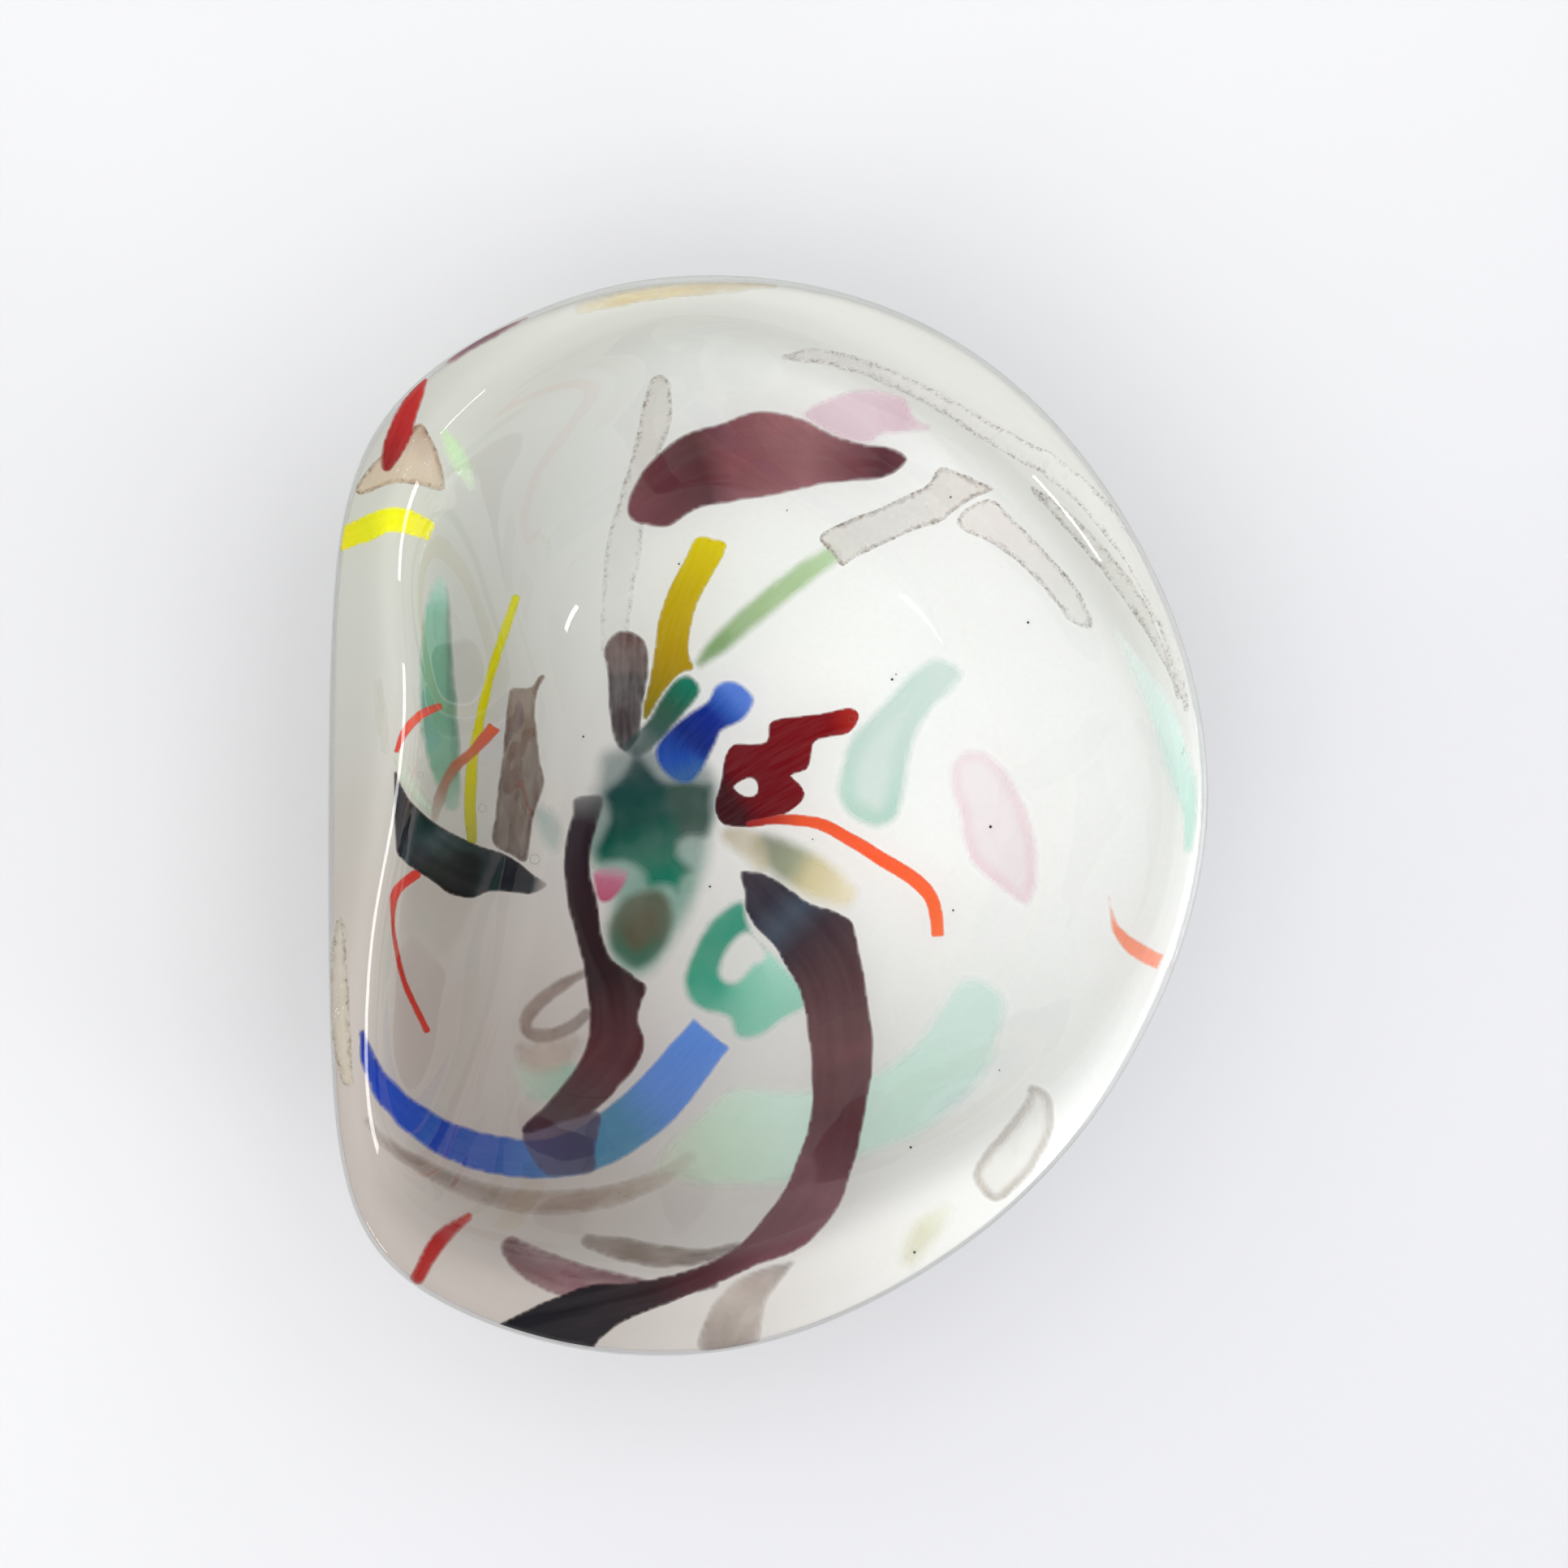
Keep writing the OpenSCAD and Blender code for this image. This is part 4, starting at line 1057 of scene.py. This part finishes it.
          (-20.8, -33), (-19.4, -43.3), (-20.7, -50.5), (-24.5, -56.4), (-28.5, -60.8), (-32.6, -65),
          (-32.2, -66.2), (-28, -65.4), (-24, -64), (-18.6, -62.4), (-13, -57.2), (-9.4, -52.8),
          (-7.9, -48.5), (-9.3, -43.5), (-8.6, -40.4), (-7.4, -37), (-10, -35), (-14.4, -31.6),
          (-16.5, -27), (-17.6, -20), (-19, -14), (-19, -10.4), (-17.8, -5), (-16.6, -1), (-17, 1.6)],
        colours=[(0, (58, 54, 60)), (0.1, (38, 26, 34)), (0.3, (42, 22, 28)), (0.5, (44, 24, 28)),
          (0.62, (74, 38, 42)), (0.75, (86, 44, 48)), (0.88, (70, 42, 48)), (1, (58, 42, 54))],
        fade=[(0, 0.7), (0.08, 1), (1, 1)]),
    inlay("amethyst_ribbon", "amethyst_glass", "dark", level=3, soft=0.45, soft_left=0.5,
        line=[(12, -15, 4), (20, -24, 12), (28.5, -34, 14), (31, -48, 13), (31, -60, 12), (27, -73, 10),
          (19, -84, 9), (4, -93, 6), (-12, -98, 8), (-35, -103, 2)],
        outline=[(11, -13.8), (12, -18), (12, -21.6), (14, -25), (17.5, -28.6), (20.6, -33.6),
          (23.4, -39), (24.6, -46), (25.4, -53), (25.4, -60), (24, -66.6), (20, -76), (15.5, -81.6),
          (11, -86.2), (4.5, -89.6), (-2, -91.6), (-9.5, -93), (-18, -93.6), (-24.5, -96), (-31, -99.2),
          (-36.4, -102.6), (-28.5, -106), (-19, -108), (-15.8, -104.6), (-11.5, -101.4), (-5, -98.8),
          (4.5, -94.6), (14.5, -90.2), (21, -87.8), (26, -84.4), (31, -78.6), (34, -70.5), (36.4, -61),
          (38, -51), (37.6, -43.5), (36, -33), (34.6, -26.4), (33.6, -23.8), (31, -22), (26, -20.4),
          (21.6, -17.8), (17, -14.6)],
        colours=[(0, (56, 48, 58)), (0.05, (52, 48, 60)), (0.09, (70, 80, 94)), (0.13, (64, 50, 58)),
          (0.2, (92, 64, 66)), (0.3, (110, 72, 76)), (0.4, (94, 54, 60)), (0.5, (124, 82, 90)),
          (0.6, (114, 74, 80)), (0.7, (78, 40, 46)), (0.78, (44, 26, 30)), (0.86, (24, 18, 24)),
          (1, (14, 14, 22))]),
    # Taupe, mauve and pink
    inlay("taupe_blade", "taupe_glass", "smoke", level=1, soft=0.6, cell=0.5, cover=0.9, wobble=0.15,
        line=[(-32, 22, 6), (-33, 12, 7), (-33.5, 0, 8), (-35, -9, 6)],
        outline=[(-35, 23), (-33.4, 23.2), (-31, 23.4), (-29.4, 25.8), (-27.8, 26), (-29.4, 22.6),
          (-30, 19), (-29.6, 14), (-29, 8.4), (-28.2, 4.4), (-29.4, 0), (-30.4, -3), (-31, -7.6),
          (-32, -12), (-35, -10.6), (-38.6, -8), (-38, -2.5), (-37.4, 3), (-36.6, 9.5), (-36, 16.5),
          (-35.6, 20.4)],
        colours=[(0, (124, 100, 80)), (0.25, (106, 82, 64)), (0.5, (88, 64, 48)), (1, (82, 58, 46))]),
    inlay("long_taupe_strip", "taupe_glass", "smoke", soft=1.3, cover=0.85,
        line=[(-61.5, -61.5, 1.5), (-57, -67, 2.6), (-49, -72.6, 3.6), (-40.5, -76.4, 4.2),
          (-31, -78.7, 4.8), (-21, -78.8, 5), (-13, -77.4, 4.6), (-5, -74.6, 4), (1.5, -70.4, 3)],
        colours=[(0, (122, 104, 98)), (0.3, (128, 106, 96)), (0.7, (152, 132, 118)),
          (1, (168, 158, 138))],
        fade=[(0, 0.7), (0.2, 1), (0.8, 0.9), (1, 0.3)]),
    inlay("mauve_piece", "mauve_glass", "smoke", level=1, soft=1.0, cover=0.92,
        line=[(-33.5, -87, 4.5), (-28.3, -90.4, 7), (-21.5, -93, 7.5), (-14, -94, 6), (-4, -95, 4),
          (6, -93.5, 3)],
        colours=[(0, (96, 54, 60)), (0.3, (118, 70, 78)), (0.7, (98, 58, 66)), (1, (104, 86, 92))]),
    inlay("lip_taupe_strip", "taupe_glass", "smoke", level=1, soft=1.0, cover=0.8,
        line=[(-18.6, -86, 3), (-11.5, -87.4, 4.6), (-3.5, -88.6, 4.4), (4.7, -88.4, 3), (11, -86.6, 2)],
        colours=[(0, (108, 86, 72)), (0.5, (112, 90, 76)), (1, (82, 64, 56))]),
    inlay("taupe_patch", "taupe_glass", "smoke", soft=1.2, cover=0.72,
        line=[(22, -89.5, 3), (14, -96, 8), (8, -106, 9)],
        outline=[(22.4, -88.8), (19, -94), (16.4, -98.6), (15.2, -105.6), (10, -108), (4, -107.6),
          (3, -104.4), (6.4, -97), (11.8, -92)],
        colours=[(0, (96, 76, 66)), (0.3, (140, 120, 110)), (0.6, (162, 146, 134)), (1, (116, 98, 86))]),
    inlay("taupe_strip", "taupe_glass", "glitter", soft=0.5, cover=0.5,
        line=[(-4.6, 82.4, 4.6), (-5.4, 77, 6.4), (-7.5, 70, 5.6), (-10.4, 60, 6), (-12.3, 51, 7.4),
          (-13.4, 44, 6.6), (-14, 37, 6.2), (-14.5, 31, 5.4)],
        colours=[(0, (196, 186, 174)), (0.3, (200, 190, 182)), (0.6, (198, 196, 186)),
          (1, (196, 192, 184))],
        fade=[(0, 1), (0.35, 0.9), (0.7, 0.65), (1, 0.4)]),
    inlay("mauve_capsule", "mauve_glass", "smoke", level=1, soft=0.8, cover=0.95,
        line=[(-12, 32, 8), (-12, 25, 8), (-12, 18, 7), (-11.5, 11, 4)],
        outline=[(-12, 35), (-15, 34), (-16.6, 31), (-15.8, 26), (-15.6, 18.5), (-14.6, 13), (-12, 10),
          (-9.4, 13), (-8.8, 17), (-7.8, 23), (-7.3, 28), (-8, 32.8)],
        colours=[(0, (92, 66, 62)), (0.26, (74, 50, 46)), (0.32, (28, 12, 12)), (0.5, (42, 22, 24)),
          (0.85, (44, 26, 30)), (1, (36, 34, 38))]),
    inlay("brown_loop", "taupe_glass", "smoke", level=1, soft=1.0, cell=0.5, cover=0.8, deep=True,
        line=[(-19.5, -34, 2.4), (-24.4, -36.6, 3), (-28.3, -39.3, 3.6), (-31.6, -42.8, 3.4),
          (-31.6, -46, 3.2), (-27.8, -47, 3.4), (-23.2, -45.2, 3.2), (-20, -42.8, 2.8)],
        colours=[(0, (130, 112, 104)), (0.5, (128, 104, 92)), (1, (122, 104, 96))]),
    inlay("pale_taupe_fleck", "taupe_glass", "smoke", soft=1.2, cell=0.5, cover=0.5, deep=True,
        line=[(-59, 24, 1.6), (-58.4, 18.5, 2.8), (-57.4, 10.5, 2)],
        colours=[(0, (196, 192, 178)), (1, (190, 186, 172))]),
    inlay("magenta_shard", "magenta_glass", "cane", level=1, soft=1.0, cell=0.5,
        line=[(-15, -13, 5), (-15.5, -16, 5), (-17, -20, 2)],
        outline=[(-18.8, -13.6), (-19, -16), (-17.6, -20), (-15, -20.2), (-12.2, -17), (-11, -14),
          (-13.4, -12.6), (-16.5, -12.6)],
        colours=[(0, (190, 140, 160)), (0.4, (180, 92, 122)), (1, (172, 70, 102))],
        fade=[(0, 0.4), (0.3, 0.9), (1, 1)]),
    inlay("pink_shard", "pink_glass", "veil", soft=1.2, cover=0.85, deep=True,
        line=[(25, 76, 4), (35, 78, 9), (48, 74, 3)],
        outline=[(23.3, 77.2), (29.1, 80.4), (34.3, 81.6), (39.5, 81.2), (44, 79.6), (46, 76), (50, 73.4),
          (44.6, 72.8), (39.5, 72.4), (36.9, 71), (32.3, 71.5), (27.8, 73.6)],
        colours=[(0, (226, 196, 208)), (0.5, (228, 200, 212)), (0.8, (222, 188, 202)),
          (1, (228, 204, 212))]),
    inlay("pink_oval", "pink_glass", "veil", soft=1.6, cover=0.8, deep=True,
        line=[(58, 8, 6), (62, -4, 12), (67, -18, 6)],
        outline=[(53.6, 8.5), (53, 4.4), (55, -3), (57, -11.5), (63, -17.4), (69, -21), (71, -14.5),
          (70.8, -7.5), (69, -1), (65.4, 6.2), (60.4, 11), (56, 10.6)],
        colours=[(0, (236, 214, 222)), (1, (236, 206, 216))],
        core=((240, 230, 232), 1.5, 4)),
    # Aventurine
    inlay("aventurine_star", "aventurine_glass", "glitter", soft=0.5, cell=0.5, cover=0.9,
        line=[(-51, 72, 4), (-53, 66, 8), (-55, 61.5, 10)],
        outline=[(-51, 74.2), (-48.6, 71), (-47, 67), (-46.8, 61.4), (-51.5, 62), (-56.5, 62),
          (-62.5, 60), (-63.6, 61.5), (-60, 66.5), (-56, 70)],
        colours=[(0, (174, 148, 122)), (0.5, (200, 180, 154)), (1, (196, 176, 148))]),
    inlay("aventurine_loop", "aventurine_glass", "smoke", soft=1.1, cover=0.8, hollow=0.75,
        line=[(69, -57, 6), (66, -65, 10), (61, -74, 8)],
        outline=[(68.1, -55), (72, -56.6), (72.8, -61.9), (71.6, -66.6), (67.8, -72.9), (63.3, -77.2),
          (60, -77.6), (56.8, -73.6), (57.2, -70.2), (60.7, -65.7), (64.6, -61.2), (67.2, -57.4)],
        colours=[(0, (190, 184, 174)), (0.5, (188, 180, 170)), (1, (172, 162, 148))]),
    inlay("long_aventurine", "aventurine_glass", "glitter", level=1, soft=0.3, cell=0.5, cover=0.38,
        wobble=0.3,
        line=[(20, 87.7, 1.4), (25.8, 87.7, 2.8), (33, 86.2, 3), (42, 82.6, 3.1), (51, 78, 3.3),
          (58, 73.6, 3.7), (65, 69.6, 4.2), (71.5, 66, 4.6), (78, 61, 5.1), (84.2, 54.4, 5.5),
          (90, 46, 5), (95.2, 36, 4), (98.4, 25, 2.8), (99.6, 18.5, 1)],
        colours=[(0, (206, 199, 195)), (0.2, (226, 220, 219)), (0.6, (234, 230, 227)),
          (1, (226, 223, 219))]),
    inlay("short_aventurine", "aventurine_glass", "glitter", soft=0.3, cell=0.5, cover=0.45,
        line=[(68.6, 61.6, 1.2), (74.4, 56.4, 2.8), (81, 49.2, 3.4), (87.4, 41, 3.4), (93, 31.8, 2.8),
          (97.8, 21, 1.2)],
        colours=[(0, (205, 202, 196)), (1, (200, 198, 190))]),
    inlay("aventurine_elbow", "aventurine_glass", "glitter", level=1, soft=0.4, cell=0.5, cover=0.62,
        line=[(30, 51, 7), (41, 56, 8), (50, 60, 8), (59, 62, 4)],
        outline=[(27, 53), (29.2, 55.2), (38.8, 59), (45.3, 61.6), (48.6, 63.6), (51, 66.4), (57, 64.2),
          (61.6, 61.8), (57.6, 60.2), (53.8, 57.8), (51, 55.8), (44.6, 53.8), (39.5, 51.4),
          (34.3, 49.2), (31.6, 47.4), (29.6, 50)],
        colours=[(0, (196, 188, 178)), (0.4, (208, 204, 196)), (1, (222, 212, 202))]),
    inlay("aventurine_wing", "aventurine_glass", "glitter", soft=0.4, cell=0.5, cover=0.5,
        line=[(58, 56.5, 5), (67, 50, 7), (75, 41, 6), (80, 35.5, 3)],
        outline=[(54.6, 57), (60.2, 60.2), (65.4, 55.9), (71.8, 49.4), (76.4, 44.2), (79.7, 39),
          (81, 34.4), (77, 35.6), (73.6, 39.6), (68, 46), (61.5, 51.2), (55.4, 54.2)],
        colours=[(0, (228, 214, 206)), (0.5, (226, 220, 214)), (1, (222, 220, 214))]),
    inlay("lip_aventurine", "aventurine_glass", "glitter", soft=0.7, cell=0.5, cover=0.85,
        line=[(-66.4, -23, 2), (-66.8, -33, 4), (-66.4, -44, 4.4), (-65, -54, 2.6)],
        colours=[(0, (190, 184, 168)), (1, (186, 176, 156))]),
    # Soft patches with no piece of their own in the CAD
    inlay("brown_veil", "taupe_glass", "smoke", level=2, soft=2.0, cover=0.6, deep=True, extra=True,
        line=[(-33, -49, 3), (-30.5, -51.5, 7), (-26, -50.5, 8), (-22, -48, 4)],
        colours=[(0, (160, 140, 130)), (0.5, (178, 156, 138)), (1, (160, 146, 134))]),
    inlay("teal_cloud", "teal_glass", "veil", soft=4.5, cover=0.8, deep=True, extra=True,
        line=[(-8, 10, 10), (-9, 2, 14), (-8, -14, 14), (-9, -32, 10)],
        outline=[(-18, 11), (-10, 14), (0, 12), (7, 8), (9, 0), (7, -8), (6, -14), (4, -20), (0, -28),
          (-6, -36), (-14, -36), (-18, -28), (-17, -19), (-22, -12), (-23, -4), (-20, 4)],
        colours=[(0, (96, 110, 110)), (0.3, (92, 116, 110)), (0.6, (70, 132, 114)),
          (1, (110, 150, 134))]),
    inlay("beige_veil", "straw_glass", "veil", level=3, soft=2.6, cover=0.75, deep=True, extra=True,
        line=[(9, -6.5, 6), (13, -8.5, 8), (15.5, -12, 6)],
        colours=[(0, (170, 154, 122)), (1, (186, 174, 140))]),
    inlay("green_veil", "green_glass", "veil", soft=0.9, cell=0.4, cover=0.5, deep=True, extra=True,
        line=[(-28.6, 53.8, 1), (-27.6, 52.4, 1.8), (-27.2, 51, 1)],
        colours=[(0, (200, 214, 190)), (1, (200, 214, 190))]),
    inlay("grey_veil", "teal_glass", "veil", level=3, soft=2.6, cover=0.7, deep=True, extra=True,
        line=[(-29.5, -2, 5), (-27.5, -5, 7), (-26.5, -9, 4)],
        colours=[(0, (130, 148, 142)), (1, (140, 160, 150))]),
]

# Air bubbles and black specks: place in plan and size across, and how high over the opal they lie
BUBBLES = [
    (-40.2, -1, 1.7), (-30.3, -11.4, 2.1), (-30.2, -1, 1.2), (-27, -1, 1.1), (-51, 5.6, 1.2),
    (-16.2, -24.8, 1.1), (33.8, 17, 1.6), (41.2, -12.2, 0.9), (44.8, -13.9, 0.6), (49.4, -19.4, 0.7),
    (34.5, 53.4, 0.8), (39.4, 53.4, 0.6), (49, 55.6, 0.7), (51, 77.2, 0.8), (34.9, 85.6, 0.9),
    (31, 85.2, 0.7), (65.6, 70.4, 0.8), (70.6, 65.8, 1.0), (74.4, 63.4, 0.8), (81.8, 55.4, 0.8),
    (-29.9, 5.4, 0.9), (6.7, -60.6, 0.5),
]
SPECKS = [
    (53, 60.6, 0.5), (41.8, 24.9, 0.5), (42.6, 25.9, 0.3), (68.5, 35.9, 0.5), (61.5, -4.8, 0.6),
    (5, -17, 0.4), (54, -21.6, 0.4), (44.9, -67.6, 0.5), (45.5, -87.7, 0.5), (25.8, -7.4, 0.3),
    (-1.2, 48.2, 0.4), (-20.6, 13.4, 0.4), (62.5, -52.7, 0.3), (20.6, 58.7, 0.3),
]
BUBBLE_HEIGHT = 1.75
SPECK_HEIGHT = 0.35
BLOB_FLATNESS = 0.6
BLOB_ROWS = 8
BLOB_TURNS = 12


def build_inlays():
    materials = {
        "cane": cane_material(), "dark": dark_material(), "smoke": smoke_material(),
        "glitter": glitter_material(), "veil": veil_material(),
    }
    for seed, row in enumerate(INLAYS, 1):
        build_inlay(row, seed, materials[row["finish"]])


def blob(centre, size):
    """Points and faces of a small rounded lump, lower than it is wide."""
    top = np.array([0, 0, size * BLOB_FLATNESS])
    points, faces = [centre + top], []
    for i in range(1, BLOB_ROWS):
        tilt = math.pi * i / BLOB_ROWS
        across, up = math.sin(tilt), math.cos(tilt) * BLOB_FLATNESS
        for j in range(BLOB_TURNS):
            turn = 2 * math.pi * j / BLOB_TURNS
            points.append(centre + size * np.array([across * math.cos(turn), across * math.sin(turn), up]))
    points.append(centre - top)
    last = 1 + (BLOB_ROWS - 2) * BLOB_TURNS
    for j in range(BLOB_TURNS):
        k = (j + 1) % BLOB_TURNS
        faces.append((0, 1 + j, 1 + k))
        faces.append((len(points) - 1, last + k, last + j))
        for a in range(1, last, BLOB_TURNS):
            faces.append((a + j, a + BLOB_TURNS + j, a + BLOB_TURNS + k, a + k))
    return points, faces


def build_blobs(name, places, height, material):
    """Many small lumps in the lining, as one piece."""
    points, faces = [], []
    for x, y, size in places:
        centre = draped(np.array([float(x)]), np.array([float(y)]), OPAL_TOP + height)[0]
        p, f = blob(centre, size / 2)
        faces += [tuple(k + len(points) for k in face) for face in f]
        points += p
    new_piece(name, new_mesh(name, points, faces), [material])


# ---------------------------------------------------------------- the studio

# Where the camera looks and how wide it sees there, in millimetres
VIEW_X, VIEW_Y, VIEW_Z = 20.0, 3.8, 60.0
VIEW_WIDTH = 306.7
CAMERA_HEIGHT = 1500.0
SENSOR_WIDTH = 36
# Half the floor's width, and its height, just under the bowl
FLOOR_HALF = 3000.0
FLOOR_LEVEL = -0.4

# Name, place in metres, size in metres and watts. The softboxes don't show in reflections; the windows do.
SOFTBOX_SIZE = (2.4, 2.4)
SOFTBOXES = [
    ("softbox_left", (-1.1, 0.0, 1.8), SOFTBOX_SIZE, 24.0),
    ("softbox_right", (1.3, 0.0, 1.6), SOFTBOX_SIZE, 17.0),
    ("softbox_back", (0.0, 1.2, 1.7), SOFTBOX_SIZE, 11.0),
    ("softbox_front", (0.0, -1.2, 1.7), SOFTBOX_SIZE, 19.0),
]
WINDOWS = [
    ("window_right", (1.2, -0.12, 0.24), (0.26, 0.50), 5.0),
    ("window_front", (0.78, -0.62, 0.66), (0.05, 0.22), 0.6),
    ("window_left", (-0.9, -0.75, 0.34), (0.12, 0.25), 1.2),
]
SOFTBOX_AIM = (0, 0, 0)
WINDOW_AIM = (0, 0, 0.05)


def build_camera():
    camera = bpy.data.cameras.new("camera")
    camera.sensor_width = SENSOR_WIDTH
    camera.lens = SENSOR_WIDTH * CAMERA_HEIGHT / VIEW_WIDTH
    camera.clip_start = 0.05
    holder = new_object("camera", camera)
    holder.location = (VIEW_X * MM, VIEW_Y * MM, (VIEW_Z + CAMERA_HEIGHT) * MM)
    bpy.context.scene.camera = holder


def floor_material():
    """A pale matt floor, with painted shade making it darker and a little cooler to one side."""
    n = Nodes("pale_floor")
    place = n.place()
    x, y, _ = n.add("SeparateXYZ", {0: place}).outputs
    # Painted shade: the floor darkens towards +x and -y
    painted_shade_lean = n.math("SUBTRACT", x, y)
    colour = n.mix(n.spread(painted_shade_lean, -0.15, 0.30), rgba((226, 226, 227)), rgba((208, 208, 212)))
    colour = n.mix(n.spread(n.noise(place, 4), 0.3, 0.7, 0, 0.3), colour, rgba((216, 216, 219)))
    return n.finish(n.surface(colour, 0.9, 0.1))


def build_floor():
    half = FLOOR_HALF
    corners = [(-half, -half), (half, -half), (half, half), (-half, half)]
    mesh = new_mesh("floor", [(x, y, FLOOR_LEVEL) for x, y in corners], [(0, 1, 2, 3)])
    mesh.materials.append(floor_material())
    floor = new_object("floor", mesh)


def area_light(name, place, size, energy, aim, mirrored):
    light = bpy.data.lights.new(name, "AREA")
    light.shape = "RECTANGLE"
    light.size, light.size_y = size
    light.energy = energy
    holder = new_object(name, light)
    holder.location = place
    direction = np.array(aim) - np.array(place)
    yaw = math.atan2(direction[1], direction[0])
    tilt = math.atan2(math.hypot(direction[0], direction[1]), -direction[2])
    holder.rotation_euler = (0, -tilt, yaw)
    holder.visible_glossy = mirrored


def build_world():
    """A bright horizon under a dimmer ceiling, so dark glass stays dark in its reflections."""
    world = bpy.data.worlds.new("soft_studio")
    world.use_nodes = True
    tree = world.node_tree
    place = tree.nodes.new("ShaderNodeTexCoord")
    across = tree.nodes.new("ShaderNodeSeparateXYZ")
    ramp = tree.nodes.new("ShaderNodeMapRange")
    for key, value in (("From Min", 0.05), ("From Max", 0.5), ("To Min", 1.0), ("To Max", 0.2)):
        ramp.inputs[key].default_value = value
    back = tree.nodes["Background"]
    back.inputs["Color"].default_value = (0.96, 0.975, 1.0, 1)
    tree.links.new(place.outputs["Generated"], across.inputs[0])
    tree.links.new(across.outputs[2], ramp.inputs["Value"])
    tree.links.new(ramp.outputs[0], back.inputs["Strength"])
    bpy.context.scene.world = world


def build_lights():
    build_world()
    for row in SOFTBOXES:
        area_light(*row, SOFTBOX_AIM, mirrored=False)
    for row in WINDOWS:
        area_light(*row, WINDOW_AIM, mirrored=True)
    scene = bpy.context.scene
    scene.view_settings.view_transform = "Standard"
    # Enough for a look along the wall, through every sheet of colour in it
    scene.cycles.transparent_max_bounces = 40


build_camera()
clear = [clear_material(), joined_material(), ground_material()]
build_opal(opal_material())
build_lining(clear)
build_casing(clear)
build_inlays()
build_blobs("air_bubbles", BUBBLES, BUBBLE_HEIGHT, bubble_material())
build_blobs("black_specks", SPECKS, SPECK_HEIGHT, speck_material())
build_floor()
build_lights()
